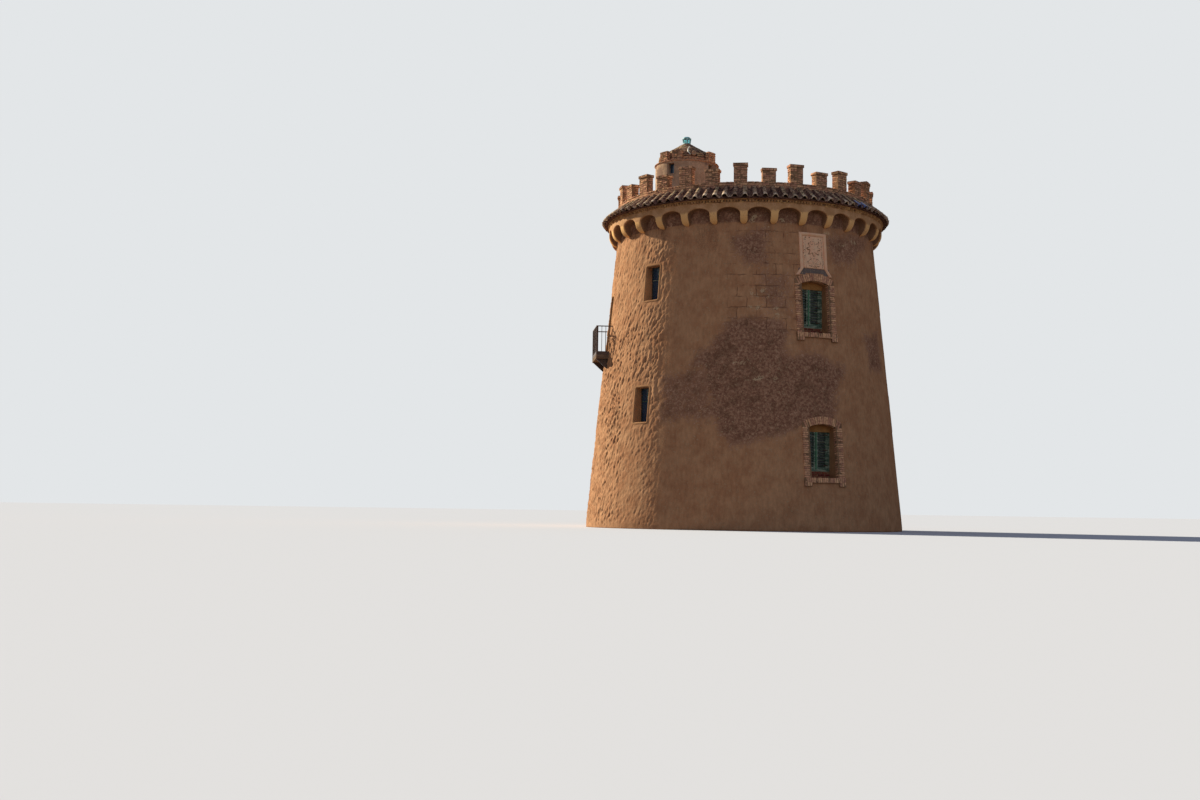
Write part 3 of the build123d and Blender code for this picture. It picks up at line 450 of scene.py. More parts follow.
def torn(tree, share, marks, low, high, by):
    """Breaks up a share's edge: marks from low to high move it by -by to +by."""
    moved = add(tree, "ShaderNodeMapRange", {
        "Value": marks, "From Min": low, "From Max": high, "To Min": -by, "To Max": by}).outputs[0]
    return add(tree, "ShaderNodeMath", {0: share, 1: moved}, operation="ADD").outputs[0]


def mineral(name, pale, deep, dust, blotch, grain, relief, rough=0.9, by_piece=0.0, layers=()):
    """Dry mineral finish: two body colours in blotches, dust in the grain, and relief from
    both. Each layer is (attribute, colour, amount): a colour over the body where the
    attribute says, broken up by the grain. Sizes are in metres."""
    material = bpy.data.materials.new(name)
    material.use_nodes = True
    tree = material.node_tree
    tree.nodes.clear()
    shader = add(tree, "ShaderNodeBsdfPrincipled", {
        "Roughness": rough, "IOR": 1.45, "Specular IOR Level": 0.0 if rough > 0.7 else 0.5})
    add(tree, "ShaderNodeOutputMaterial", {"Surface": shader.outputs[0]})
    place = add(tree, "ShaderNodeTexCoord").outputs["Object"]
    clouds, grains = (add(tree, "ShaderNodeTexNoise", {
        "Vector": place, "Scale": 1 / size, "Detail": detail, "Roughness": mix}).outputs[0]
        for size, detail, mix in ((blotch, 6.0, 0.62), (grain, 4.0, 0.7)))
    body = laid_over(tree, linear(pale), linear(deep), clouds, 0.4, 0.6)
    body = laid_over(tree, body, linear(dust), grains, 0.5, 0.66, 0.6)
    if by_piece:
        tone = add(tree, "ShaderNodeAttribute", attribute_name="tone").outputs["Fac"]
        shift, hue = (add(tree, "ShaderNodeMapRange", {
            "Value": tone, "To Min": middle - by, "To Max": middle + by}).outputs[0]
            for middle, by in ((1.0, by_piece), (0.5, 0.05 * by_piece)))
        body = add(tree, "ShaderNodeHueSaturation", {
            "Hue": hue, "Value": shift, "Color": body}).outputs[0]
    for attribute, colour, amount in layers:
        field = add(tree, "ShaderNodeAttribute", attribute_name=attribute).outputs["Fac"]
        edge = torn(tree, field, grains, 0.36, 0.64, 0.35)
        body = laid_over(tree, body, linear(colour), edge, 0.3, 0.75, amount)
    height = add(tree, "ShaderNodeMath", {0: clouds, 1: 0.8, 2: grains},
                 operation="MULTIPLY_ADD").outputs[0]
    bump = add(tree, "ShaderNodeBump", {"Strength": 1.0, "Distance": relief, "Height": height})
    tree.links.new(body, shader.inputs["Base Color"])
    tree.links.new(bump.outputs[0], shader.inputs["Normal"])
    return SimpleNamespace(material=material, tree=tree, shader=shader, place=place, colour=body,
                           height=height, bump=bump)


# Lime render: matt, warm tan, and dull brown in its hollows as painted shade. The undercoat is a
# redder brown with dark and pale clods, drawn as coarse as a fist, the finest mark that shows
# from the camera.
lime = mineral("trowelled_lime_render", "#C89770", "#B88561", "#AA7D5B", 0.5, 0.05, 0.006,
               layers=(("stain", "#8A6349", 0.5), ("slate", "#6F6A68", 0.9)))
tree = lime.tree
unrolled = add(tree, "ShaderNodeUVMap", uv_map="unrolled").outputs[0]
upright = add(tree, "ShaderNodeMapping", {"Vector": unrolled, "Scale": (1.0, 0.35, 1.0)}).outputs[0]
brushed, clods, crumbs, patches = (add(tree, "ShaderNodeTexNoise", {
    "Vector": place, "Scale": 1 / size, "Detail": detail, "Roughness": mix}).outputs[0]
    for place, size, detail, mix in (
        (upright, 0.09, 4.0, 0.6), (lime.place, 0.085, 4.0, 0.75),
        (lime.place, 0.05, 3.0, 0.7), (lime.place, 0.45, 3.0, 0.6)))
bare_share, hollow_shade_and_dirt_share, flake_share, joint_share = (
    add(tree, "ShaderNodeAttribute", attribute_name=name).outputs["Fac"]
    for name in ("undercoat", "hollow_shade_and_dirt", "flake", "jointed"))

# The top coat, brushed a little lighter and darker, and the clods where it has gone.
coat_shade = add(tree, "ShaderNodeMapRange", {
    "Value": brushed, "From Min": 0.34, "From Max": 0.66, "To Min": 0.88, "To Max": 1.1}).outputs[0]
smooth_coat = add(tree, "ShaderNodeHueSaturation", {
    "Value": coat_shade, "Color": lime.colour}).outputs[0]
bare_coat = laid_over(tree, linear("#845C4A"), linear("#B2866C"), clods, 0.43, 0.57)
bare_coat = laid_over(tree, bare_coat, linear("#DCB698"), clods, 0.61, 0.69, 0.85)
torn_coat = torn(tree, bare_share, clods, 0.35, 0.65, 0.3)
coated = laid_over(tree, smooth_coat, bare_coat, torn_coat, 0.35, 0.65, 0.9)

# Painted shade with some dirt in the hollows, pale stone in the flakes, and painted shade in the
# dark pockets between its crumbs.
shaded_and_soiled = laid_over(tree, coated, linear("#70503C"), hollow_shade_and_dirt_share, 0.45, 1.0, 0.5)
torn_flake = torn(tree, flake_share, crumbs, 0.35, 0.65, 0.5)
shaded_and_soiled = laid_over(tree, shaded_and_soiled, linear("#D2B590"), torn_flake, 0.3, 0.6, 0.8)
# Painted shade: dark brown in the pockets between the crumbs of each flake.
between = add(tree, "ShaderNodeMapRange", {
    "Value": crumbs, "From Min": 0.46, "From Max": 0.38}).outputs[0]
pocket_shade = add(tree, "ShaderNodeMath", {0: flake_share, 1: between}, operation="MULTIPLY").outputs[0]
shaded_and_soiled = laid_over(tree, shaded_and_soiled, linear("#4A3528"), pocket_shade, 0.2, 0.5, 0.7)

# Old joints of the masonry show through in patches, bent and broken.
wander = add(tree, "ShaderNodeTexNoise", {"Vector": lime.place, "Scale": 3.0}).outputs["Color"]
bent = add(tree, "ShaderNodeVectorMath", {0: wander, 1: (0.16, 0.12, 0.0), 2: unrolled},
           operation="MULTIPLY_ADD").outputs[0]
masonry = add(tree, "ShaderNodeTexBrick", {
    "Vector": bent, "Scale": 1.0, "Mortar Size": 0.026, "Mortar Smooth": 1.0,
    "Brick Width": 0.66, "Row Height": 0.36, "Color1": (1, 1, 1, 1), "Color2": (0, 0, 0, 1),
    "Mortar": (0.5, 0.5, 0.5, 1)})
showing = add(tree, "ShaderNodeMapRange", {
    "Value": patches, "From Min": 0.45, "From Max": 0.58, "To Max": 0.75}).outputs[0]
worn_joints = add(tree, "ShaderNodeMath", {0: joint_share, 1: showing},
                  operation="MULTIPLY").outputs[0]
lines = add(tree, "ShaderNodeMath", {0: masonry.outputs["Fac"], 1: worn_joints},
            operation="MULTIPLY").outputs[0]
block_shade = add(tree, "ShaderNodeMapRange", {
    "Value": masonry.outputs["Color"], "To Min": 0.9, "To Max": 1.1}).outputs[0]
block_tone = add(tree, "ShaderNodeHueSaturation", {
    "Value": block_shade, "Color": shaded_and_soiled}).outputs[0]
for share, colour in ((worn_joints, block_tone), (lines, linear("#74523F"))):
    shaded_and_soiled = add(tree, "ShaderNodeMix", {0: share, 6: shaded_and_soiled, 7: colour},
                 data_type="RGBA").outputs[2]
tree.links.new(shaded_and_soiled, lime.shader.inputs["Base Color"])
rough_clods = add(tree, "ShaderNodeMath", {0: clods, 1: bare_share},
                  operation="MULTIPLY").outputs[0]
height = lime.height
for marks, deep in ((brushed, 1.2), (rough_clods, 3.0), (lines, -2.0)):
    height = add(tree, "ShaderNodeMath", {0: marks, 1: deep, 2: height},
                 operation="MULTIPLY_ADD").outputs[0]
tree.links.new(height, lime.bump.inputs["Height"])

# The coat is finest where the low sun rakes it.
for side, first, last, step in (("left", -100.0, -32.0, 0.027), ("front", -32.0, 100.0, 0.055),
                                ("back", 100.0, 260.0, 0.05)):
    angles = stations((first, last), np.degrees(step / UNROLL_RADIUS))
    levels = stations((0.0, WALL_HEAD, COAT_TOP), step)
    angle, level = np.meshgrid(angles, levels)
    fields, thick = coat_fields(angle, level)
    jointed = np.clip((level - 5.9) / 0.6, 0, 1) * np.clip((9.9 - level) / 0.3, 0, 1)
    near_joints = np.clip((17 - np.abs(angle - 2.5)) / 4, 0, 1)
    far_joints = 0.5 * np.clip((angle - 60) / 15, 0, 1) * np.clip((250 - angle) / 20, 0, 1)
    fields["jointed"] = jointed * np.maximum(near_joints, far_joints)
    skin = polar(angle, wall_radius(level) + thick, level)
    quads = grid_faces(len(levels), len(angles))
    middle = (angle.ravel()[quads].mean(axis=1), level.ravel()[quads].mean(axis=1))
    quads = quads[~cut_out(*middle)]
    ends = levels[[0, -1]][:, None]
    turned_in = polar(angles, wall_radius(ends) - 0.02, ends)
    run = np.arange(len(angles))
    last_row = (len(levels) - 1) * len(angles)
    foot = np.stack((run + last_row + len(angles), run))
    head = np.stack((run + last_row, run + last_row + 2 * len(angles)))
    nose_highlights = [np.stack((r[0, :-1], r[0, 1:], r[1, 1:], r[1, :-1]), axis=-1) for r in (foot, head)]
    both = np.concatenate((skin.reshape(-1, 3), turned_in.reshape(-1, 3)))

    def with_rims(values):
        """A field on the skin, with its first and last row again for the turned-in rims."""
        return np.concatenate((values.ravel(), values[0], values[-1]))

    coat = put(f"render_coat_{side}", [(both, [quads, *nose_highlights], lime.material, 0.5)],
               smooth=True, closed=False,
               fields={label: with_rims(values) for label, values in fields.items()})
    loops = np.zeros(len(coat.data.loops), np.int32)
    coat.data.loops.foreach_get("vertex_index", loops)
    flat = np.stack((with_rims(np.radians(angle) * UNROLL_RADIUS), with_rims(level)), axis=-1)
    coat.data.uv_layers.new(name="unrolled").data.foreach_set("uv", flat[loops].ravel())

# Plain render for the reveals, the room side of the walls and the linings: the same lime,
# struck smoother, so its relief is finer.
reveal = mineral("smooth_lime_render", "#BC8E66", "#A67A58", "#8E6A4E", 0.4, 0.03, 0.003)
WALL_NODES = [f"{storey}_wall_{side}" for storey in ("lower", "upper") for side in (
    "front_right", "right", "back_right", "back", "left", "front_left")]
dress(reveal.material, *WALL_NODES)

# Slit windows
# Deep openings with a plastered lining whose lip is rounded by hand onto the wall. At the
# back sit a dark painted timber frame and a pane in two lights.
LINING_PROFILE = ((-0.006, 0.0, 0.0), (-0.008, 0.35, 0.0), (-0.008, 0.7, 0.0), (-0.007, 0.95, 0.0),
                  (-0.003, 1.0, 0.004), (0.008, 1.0, 0.016), (0.026, 1.0, 0.024),
                  (0.05, 1.0, 0.022), (0.08, 1.0, 0.012), (0.11, 1.0, -0.004))


def face_axes(azimuth, turned=0.0, lean=1.0):
    """Axes of something set in the wall face: along the face, into the wall and up it. They
    lean back with the batter, and turn in the face by an angle in degrees."""
    azimuth, turned = np.broadcast_arrays(np.radians(azimuth), np.radians(turned))
    zero = np.zeros_like(azimuth)
    along = np.stack((np.cos(azimuth), np.sin(azimuth), zero), axis=-1)
    outward = np.stack((np.sin(azimuth), -np.cos(azimuth), zero), axis=-1)
    up = np.stack((zero, zero, zero + 1), axis=-1) - lean * BATTER * outward
    up = up / np.linalg.norm(up, axis=-1, keepdims=True)
    inward = np.cross(up, along)
    c, s = np.cos(turned)[..., None], np.sin(turned)[..., None]
    return np.stack((c * along + s * up, inward, c * up - s * along), axis=-2)


def upright_axes(azimuth):
    """Axes of something upright: along the wall, inwards and up."""
    return face_axes(azimuth, lean=0.0)


def on_face(azimuth, across, height, proud):
    """Point on the wall face, at a distance across from the azimuth's upright plane, and
    proud of the face: outward distance = square root of radius squared less across squared."""
    angle = np.radians(azimuth)
    out = np.sqrt(wall_radius(height) ** 2 - across ** 2) + proud
    x = out * np.sin(angle) + across * np.cos(angle)
    y = -out * np.cos(angle) + across * np.sin(angle)
    return np.stack(np.broadcast_arrays(x, y, height), axis=-1)


def lining(azimuth, outline, plane, profile, seed, joined=True):
    """Plaster carried along an opening's outline. Each profile point is (offset away from
    the opening, share of the way from the joinery's plane out to the wall face, proud)."""
    outline = np.array(outline)
    following = np.roll(outline, -1, axis=0) if joined else np.vstack((outline[1:], outline[-1:]))
    before = np.roll(outline, 1, axis=0) if joined else np.vstack((outline[:1], outline[:-1]))
    along = following - before
    along = along / np.linalg.norm(along, axis=1, keepdims=True)
    away = np.stack((along[:, 1], -along[:, 0]), axis=-1)
    offset, share, proud = (np.array(column)[None, :] for column in zip(*profile))
    across = outline[:, :1] + away[:, :1] * offset
    height = outline[:, 1:] + away[:, 1:] * offset
    angle = np.radians(azimuth)
    face = np.sqrt(wall_radius(height) ** 2 - across ** 2)
    out = plane + share * (face - plane) + proud
    x = out * np.sin(angle) + across * np.cos(angle)
    y = -out * np.cos(angle) + across * np.sin(angle)
    points = np.stack((x, y, height), axis=-1)
    points = points + 0.004 * uneven(points, 0.12, seed)[..., None] * face_axes(azimuth)[1]
    return points.transpose(1, 0, 2), grid_faces(len(offset[0]), len(outline), closed=joined)


def rounded_box(half, low, high, corner=0.03, step=0.07):
    """Anticlockwise outline of an upright opening with slightly rounded corners."""
    points = []
    for cx, cz, start in ((half, low, -90), (half, high, 0), (-half, high, 90), (-half, low, 180)):
        middle = (cx - np.sign(cx) * corner, cz + (corner if cz == low else -corner))
        turn_angles = np.radians(start + np.array([0, 30, 60, 90]))
        points.append(np.stack((middle[0] + corner * np.cos(turn_angles),
                                middle[1] + corner * np.sin(turn_angles)), axis=-1))
    corners = np.concatenate(points)
    nexts = np.roll(corners, -1, axis=0)
    runs = [np.linspace(a, b, max(1, round(float(np.hypot(*(b - a))) / step)), endpoint=False)
            for a, b in zip(corners, nexts)]
    return np.concatenate(runs)


linings = []
for number, (azimuth, sill) in enumerate(SLITS):
    outline = rounded_box(SLIT_WIDTH / 2, sill, sill + SLIT_HEIGHT)
    plane = wall_radius(sill + SLIT_HEIGHT / 2) - SLIT_SETBACK
    shape, quads = lining(azimuth, outline, plane, LINING_PROFILE, 100 + number)
    linings.append((shape, [quads], reveal.material, 0.5))
put("slit_linings", linings, smooth=True, closed=False)


def painted(name, colour, worn, bare, rough):
    """Old oil paint on timber: brush grain every few millimetres drawn upright, faded in
    patches, and chipped to grey wood where the noise is highest."""
    brush_grain = 0.012
    made = mineral(name, colour, worn, colour, 0.25, brush_grain, 0.0008, rough)
    tree = made.tree
    grain_place = add(tree, "ShaderNodeMapping", {
        "Vector": made.place, "Scale": (1.0, 1.0, 0.08)}).outputs[0]
    grain = add(tree, "ShaderNodeTexNoise", {
        "Vector": grain_place, "Scale": 1 / brush_grain, "Detail": 4.0,
        "Roughness": 0.65}).outputs[0]
    made.colour = laid_over(tree, made.colour, linear(bare), grain, 0.6, 0.68, 0.6)
    tree.links.new(made.colour, made.shader.inputs["Base Color"])
    tree.links.new(grain, made.bump.inputs["Height"])
    made.bump.inputs["Distance"].default_value = 0.0015
    return made


# Dark green oil paint on timber, dull with age. Pale bands as high as a slat or two of the
# shutters lie across it: dust, and a painted highlight standing for the slats' lit edges.
green_paint = painted("aged_green_oil_paint", "#344A3C", "#4C6656", "#7E826C", 0.5)
tree = green_paint.tree
across_slats = add(tree, "ShaderNodeMapping", {
    "Vector": green_paint.place, "Scale": (0.2, 0.2, 1.0)}).outputs[0]
dust_and_highlight_bands = add(tree, "ShaderNodeTexNoise", {
    "Vector": across_slats, "Scale": 1 / 0.06, "Detail": 3.0, "Roughness": 0.6}).outputs[0]
dusty_and_highlit = laid_over(tree, green_paint.colour, linear("#9CA690"), dust_and_highlight_bands, 0.46, 0.6, 0.75)
tree.links.new(dusty_and_highlit, green_paint.shader.inputs["Base Color"])
# Near-black painted timber in the slits.
dark_paint = painted("aged_dark_oil_paint", "#26282A", "#35383A", "#5B5448", 0.5)
dress(dark_paint.material, "slit_frames")

# Old window glass, slightly dusty and wavy: a blue-black pane whose blue is a painted
# reflection of the sky.
glass = mineral("old_window_glass", "#243C58", "#2E4A62", "#4C5860", 0.5, 0.02, 0.0003, 0.15)
glass.shader.inputs["IOR"].default_value = 1.52
dress(glass.material, "slit_panes")


def box_faces():
    """Faces of a box with cut edges: six sides, twelve edges and eight corners. Point
    3c + k is corner c, pushed out to side k."""
    corners = list(product((-1, 1), repeat=3))
    number = {corner: index for index, corner in enumerate(corners)}
    quads, triangles = [], []
    for axis in range(3):
        one, two = (axis + 1) % 3, (axis + 2) % 3
        for a, b in product((-1, 1), repeat=2):
            ends = []
            for end in (-1, 1):
                corner = [0, 0, 0]
                corner[axis], corner[one], corner[two] = end, a, b
                ends.append(3 * number[tuple(corner)])
            edge = [ends[0] + one, ends[1] + one, ends[1] + two, ends[0] + two]
            quads.append(edge if a * b < 0 else edge[::-1])
        for side in (-1, 1):
            loop = []
            for a, b in ((-1, -1), (1, -1), (1, 1), (-1, 1)):
                corner = [0, 0, 0]
                corner[axis], corner[one], corner[two] = side, a, b
                loop.append(3 * number[tuple(corner)] + axis)
            quads.append(loop if side > 0 else loop[::-1])
    for index, corner in enumerate(corners):
        loop = [3 * index, 3 * index + 1, 3 * index + 2]
        triangles.append(loop if np.prod(corner) > 0 else loop[::-1])
    return np.array(quads), np.array(triangles)


BOX_QUADS, BOX_TRIANGLES = box_faces()
BOX_CORNERS = np.array(list(product((-1.0, 1.0), repeat=3)))


def blocks(centres, axes, sizes, cut, seed, ragged=0.0015, chipped=0.0):
    """Boxes with cut edges: centre + axes x (corner x (half size - cut) + cut along a side),
    each corner moved a little at random, and a few corners knocked off."""
    chance = np.random.default_rng(seed)
    centres = np.atleast_2d(centres)
    count = len(centres)
    half = np.broadcast_to(np.asarray(sizes, float), (count, 3)) / 2
    axes = np.broadcast_to(axes, (count, 3, 3))
    corner = BOX_CORNERS[None] * (half[:, None] - cut)
    corner = corner + chance.normal(0, ragged, corner.shape)
    knocked = (chance.random((count, 8, 1)) < chipped) * chance.uniform(0.15, 0.5, (count, 8, 1))
    corner = corner - BOX_CORNERS[None] * knocked * np.minimum(half[:, None], 0.06)
    pushed = corner[:, :, None, :] + cut * BOX_CORNERS[None, :, None, :] * np.eye(3)[None, None]
    local = pushed.reshape(count, 24, 3)
    points = centres[:, None] + np.einsum("npk,nkj->npj", local, axes)
    shift = 24 * np.arange(count)[:, None, None]
    quads = (BOX_QUADS[None] + shift).reshape(-1, 4)
    triangles = (BOX_TRIANGLES[None] + shift).reshape(-1, 3)
    tone = np.repeat(chance.random(count), 24)
    return points.reshape(-1, 3), [quads, triangles], tone


def made_of(finish, *shapes, at=0.0):
    """Parts for put, all in one finish, from shapes of (points, faces, tone) moved by at."""
    return [(points + at, faces, finish.material, tone) for points, faces, tone in shapes]


# A glazing bar down the middle of each slit, and one across, between frames 50 mm wide.
bar_centres, bar_turns, bar_sizes = [], [], []
for azimuth, sill in SLITS:
    plane = wall_radius(sill + SLIT_HEIGHT / 2) - SLIT_SETBACK
    for height, size in ((sill + SLIT_HEIGHT / 2, (0.028, 0.036, SLIT_HEIGHT - 0.1)),
                         (sill + 0.62 * SLIT_HEIGHT, (SLIT_WIDTH - 0.1, 0.034, 0.024))):
        bar_centres.append(polar(azimuth, plane - 0.022, height))
        bar_turns.append(upright_axes(azimuth))
        bar_sizes.append(size)
slit_bars = blocks(bar_centres, np.array(bar_turns), bar_sizes, 0.003, 5, 0.0)
put("slit_glazing_bars", made_of(green_paint, slit_bars))

# Framed windows
# Brick jambs and segmental heads one brick wide, standing a finger proud of the render, on
# a projecting sill with dropped ends. Louvred timber leaves close them.
WINDOW_HALF, WINDOW_HEIGHT, WINDOW_RISE, WINDOW_SETBACK = 0.5, 1.62, 0.1, 0.45
SURROUND_WIDTH, SURROUND_PROUD = 0.235, 0.035
BRICK_PROUD, BRICK_COURSE, BRICK_JOINT, BRICK_DEPTH = 0.007, 0.07, 0.012, 0.16
HEAD_ARC = (WINDOW_HALF ** 2 + WINDOW_RISE ** 2) / (2 * WINDOW_RISE)
# The bricks of the head fan out to this distance on each side.
HEAD_REACH, HEAD_BRICKS = 0.62, 17

# Low-fired brick, salmon to brown, gone dusty and round at the edges.
brick = mineral("weathered_low_fired_brick", "#EEB68C", "#BA866A", "#DEB698", 0.06, 0.02, 0.003,
                by_piece=0.2)
# Lime mortar, pale and sandy.
mortar = mineral("sandy_lime_mortar", "#9C7A5C", "#7F614A", "#A88C70", 0.16, 0.015, 0.003)
dress(mortar.material, "window_surrounds", "window_sills", "window_aprons", "entrance_surround")


def face_bricks(azimuth, across, height, turned, width, tall, deep, proud, seed, chipped=0.05):
    """Bricks in the wall face round an azimuth, at places across and up, turned in the face."""
    across, height, turned = (np.asarray(part, float) for part in (across, height, turned))
    centres = on_face(azimuth, across, height, proud - deep / 2)
    sizes = np.stack(np.broadcast_arrays(width, deep, tall, across), axis=-1)[:, :3]
    axes = face_axes(np.full(across.shape, azimuth), turned)
    return blocks(centres, axes, sizes, 0.007, seed, 0.0022, chipped)


def brick_jambs(azimuth, middle, foot, tall, seed):
    """Brick jambs one brick wide, their middles that far to each side of an opening's own."""
    courses = int(tall / BRICK_COURSE)
    rows = foot + BRICK_COURSE * (np.arange(courses) + 0.5)
    return face_bricks(azimuth, np.repeat((-middle, middle), courses), np.tile(rows, 2),
                       np.zeros(2 * courses), SURROUND_WIDTH + 0.008, BRICK_COURSE - BRICK_JOINT,
                       BRICK_DEPTH, SURROUND_PROUD + BRICK_PROUD, seed, 0.08)


def brick_arch(azimuth, reach, centre, fan, width, proud, seed):
    """Bricks on end round an arch's centre, each turned by its angle in the fan."""
    return face_bricks(azimuth, reach * np.sin(np.radians(fan)),
                       centre + reach * np.cos(np.radians(fan)), -fan, width,
                       SURROUND_WIDTH + 0.006, BRICK_DEPTH, proud, seed)


surrounds = []
for number, (azimuth, sill) in enumerate(WINDOWS):
    surrounds.append(brick_jambs(azimuth, WINDOW_HALF + SURROUND_WIDTH / 2, sill,
                                 WINDOW_HEIGHT + 0.03, 300 + number))
    reach = HEAD_ARC + SURROUND_WIDTH / 2
    spread = np.degrees(np.arcsin(HEAD_REACH / reach))
    fan = np.linspace(-spread, spread, HEAD_BRICKS)
    surrounds.append(brick_arch(azimuth, reach, sill + WINDOW_HEIGHT + WINDOW_RISE - HEAD_ARC, fan,
                                0.067, SURROUND_PROUD + BRICK_PROUD + 0.003, 320 + number))
put("window_brick_surrounds", made_of(brick, *surrounds))

# Bricks on edge make the sill, and three more under each end.
SILL_HALF, SILL_HEIGHT, SILL_PROUD, SILL_DEPTH, SILL_BRICKS = 0.76, 0.15, 0.075, 0.2, 20
EAR_WIDTH, EAR_DROP = 0.25, 0.11
sill_bricks = []
for number, (azimuth, sill) in enumerate(WINDOWS):
    across = (np.arange(SILL_BRICKS) + 0.5) * 2 * SILL_HALF / SILL_BRICKS - SILL_HALF
    sill_bricks.append(face_bricks(
        azimuth, across, np.full(SILL_BRICKS, sill - SILL_HEIGHT / 2), np.zeros(SILL_BRICKS),
        2 * SILL_HALF / SILL_BRICKS - 0.01, SILL_HEIGHT + 0.008, SILL_DEPTH, SILL_PROUD + 0.006,
        340 + number, 0.1))
    ears = np.array([-1, -1, -1, 1, 1, 1]) * (SILL_HALF - EAR_WIDTH / 2) + np.array(
        [-1, 0, 1, -1, 0, 1]) * EAR_WIDTH / 3
    sill_bricks.append(face_bricks(
        azimuth, ears, np.full(6, sill - SILL_HEIGHT - EAR_DROP / 2), np.zeros(6),
        EAR_WIDTH / 3 - 0.01, EAR_DROP + 0.004, SILL_DEPTH, SILL_PROUD + 0.005, 360 + number, 0.1))
put("window_brick_sills", made_of(brick, *sill_bricks))


def window_plane(sill):
    """Distance from the axis to the outer face of a framed window's leaves."""
    return wall_radius(sill + WINDOW_HEIGHT / 2) - WINDOW_SETBACK


# The breast under each frame: three courses of stretchers in dark red, dusty brick.
red_brick = mineral("dark_red_brick", "#8C4A3C", "#6C342C", "#9A6A58", 0.09, 0.02, 0.003,
                    by_piece=0.2)
breasts = []
for number, (azimuth, sill) in enumerate(WINDOWS):
    across, rise = np.meshgrid(np.linspace(-0.375, 0.375, 4), 0.04 + 0.074 * np.arange(3))
    across = across + 0.06 * np.where(np.arange(3) % 2, 1, -1)[:, None]
    spots = polar(azimuth, window_plane(sill) - 0.03, sill + rise.ravel())
    spots = spots + across.ravel()[:, None] * face_axes(azimuth)[0]
    breasts.append(blocks(spots, upright_axes(azimuth), (0.23, 0.072, 0.062), 0.006,
                          380 + number, 0.002, 0.06))
put("window_brick_breasts", made_of(red_brick, *breasts))

# The leaves are square-headed: a thin plaster panel in old ochre wash, warm and matt, fills
# the arch over them. Its rows are given as the share of the way up it and how far each
# stands out from the leaves' plane.
ochre_wash = mineral("ochre_washed_plaster", "#C8965C", "#B27F4C", "#A07048", 0.3, 0.03, 0.003)
HEAD_ROWS = ((0, -0.01), (0, 0.008), (0.05, 0.014), (0.35, 0.014), (0.7, 0.014), (1.0, 0.014))
plaster_heads = []
for azimuth, sill in WINDOWS:
    share, proud = (np.array(column)[:, None] for column in zip(*HEAD_ROWS))
    across = np.linspace(-WINDOW_HALF, WINDOW_HALF, 25)[None]
    low = sill + WINDOW_HEIGHT - 0.13
    top = sill + WINDOW_HEIGHT + WINDOW_RISE - HEAD_ARC + np.sqrt(HEAD_ARC ** 2 - across ** 2)
    panel = polar(azimuth, window_plane(sill) + proud, low + share * (top - low))
    panel = panel + across[..., None] * face_axes(azimuth)[0]
    panel = panel - 0.004 * uneven(panel, 0.15, 395)[..., None] * face_axes(azimuth)[1]
    plaster_heads.append((panel, [grid_faces(*panel.shape[:2])], ochre_wash.material, 0.5))
put("window_plaster_heads", plaster_heads, smooth=True, closed=False)

dress(green_paint.material, "window_frames", "shutters")
# Brighter paint where the leaves were touched up: the cover strip down their middle.
strip_paint = painted("fresh_green_oil_paint", "#27603F", "#35724E", "#7F8A65", 0.4)
# Wrought iron, nearly black, with rust in its grain.
iron = mineral("rusted_wrought_iron", "#2A211D", "#4A3226", "#5A3D2C", 0.06, 0.008, 0.0008, 0.62)
iron.shader.inputs["Metallic"].default_value = 0.35
# The leaves stand on the breast, and each hangs on three strap hinges at these heights.
LEAF_FOOT, HINGE_HEIGHTS = 0.23, (0.42, 0.92, 1.4)
strips, hinges = [], []
for azimuth, sill in WINDOWS:
    middle = sill + LEAF_FOOT + (WINDOW_HEIGHT - LEAF_FOOT) / 2
    spots = [polar(azimuth, window_plane(sill) - 0.012, middle)]
    strips.append(blocks(spots, upright_axes(azimuth), (0.045, 0.022, WINDOW_HEIGHT - 0.36), 0.004,
                         6, 0.0))
    spots = [polar(azimuth, window_plane(sill) - 0.018, sill + rise)
             + side * 0.36 * face_axes(azimuth)[0] for side in (-1, 1) for rise in HINGE_HEIGHTS]
    hinges.append(blocks(spots, upright_axes(azimuth), (0.16, 0.01, 0.03), 0.002, 7, 0.0))
put("shutter_cover_strips", made_of(strip_paint, *strips))

# Inner leaves of plain boards stand shut behind the louvres, so that no daylight comes through.
# Their near-black paint is painted shade behind the louvres.
LEAF_BOARDS, BOARD_PITCH = 8, 0.109
dark_boards_behind_louvres = []
for number, (azimuth, sill) in enumerate(WINDOWS):
    across = (np.arange(LEAF_BOARDS) - (LEAF_BOARDS - 1) / 2) * BOARD_PITCH
    spots = polar(azimuth, window_plane(sill) - 0.079, sill + 0.91)
    spots = spots + across[:, None] * face_axes(azimuth)[0]
    dark_boards_behind_louvres.append(blocks(spots, upright_axes(azimuth), (0.107, 0.014, 1.28), 0.003,
                               390 + number, 0.0005))
put("shade_boards_behind_louvres", made_of(dark_paint, *dark_boards_behind_louvres))
put("shutter_strap_hinges", made_of(iron, *hinges))

# Stone panel
# A worn slab of soft pink stone between moulded strips, over the upper front window. Its
# carving is a plain eight-petalled rosette over a shell, nearly rubbed away.
PANEL_HALF, PANEL_FOOT, PANEL_TOP, PANEL_PROUD = 0.4, 8.49, 9.58, 0.045
PANEL_BORDER, PANEL_FLARE, FLARE_FOOT = 0.11, 0.17, 8.25
CARVING_STEP = 0.014
# Soft pink sandstone, pale where rain has washed it, with painted shade in its pits and along
# the steep sides of its carving.
stone = mineral("worn_pink_sandstone", "#FFD2AA", "#FFC49C", "#FFE0C0", 0.2, 0.03, 0.005,
                layers=(("pit_shade", "#7A5844", 0.9),))


def petals(across, up, middle, radius, count, depth):
    """Rosette: depth x a wave of the angle round its middle, faded out past its radius."""
    away = np.hypot(across, up - middle)
    wave = 0.55 + 0.45 * np.cos(count * np.arctan2(across, up - middle))
    ring = np.clip((radius * (0.55 + 0.45 * wave) - away) / 0.03, 0, 1)
    boss = np.clip((0.05 - away) / 0.02, 0, 1)
    return depth * np.maximum(ring * np.sqrt(np.clip(away / radius, 0, 1)), boss)


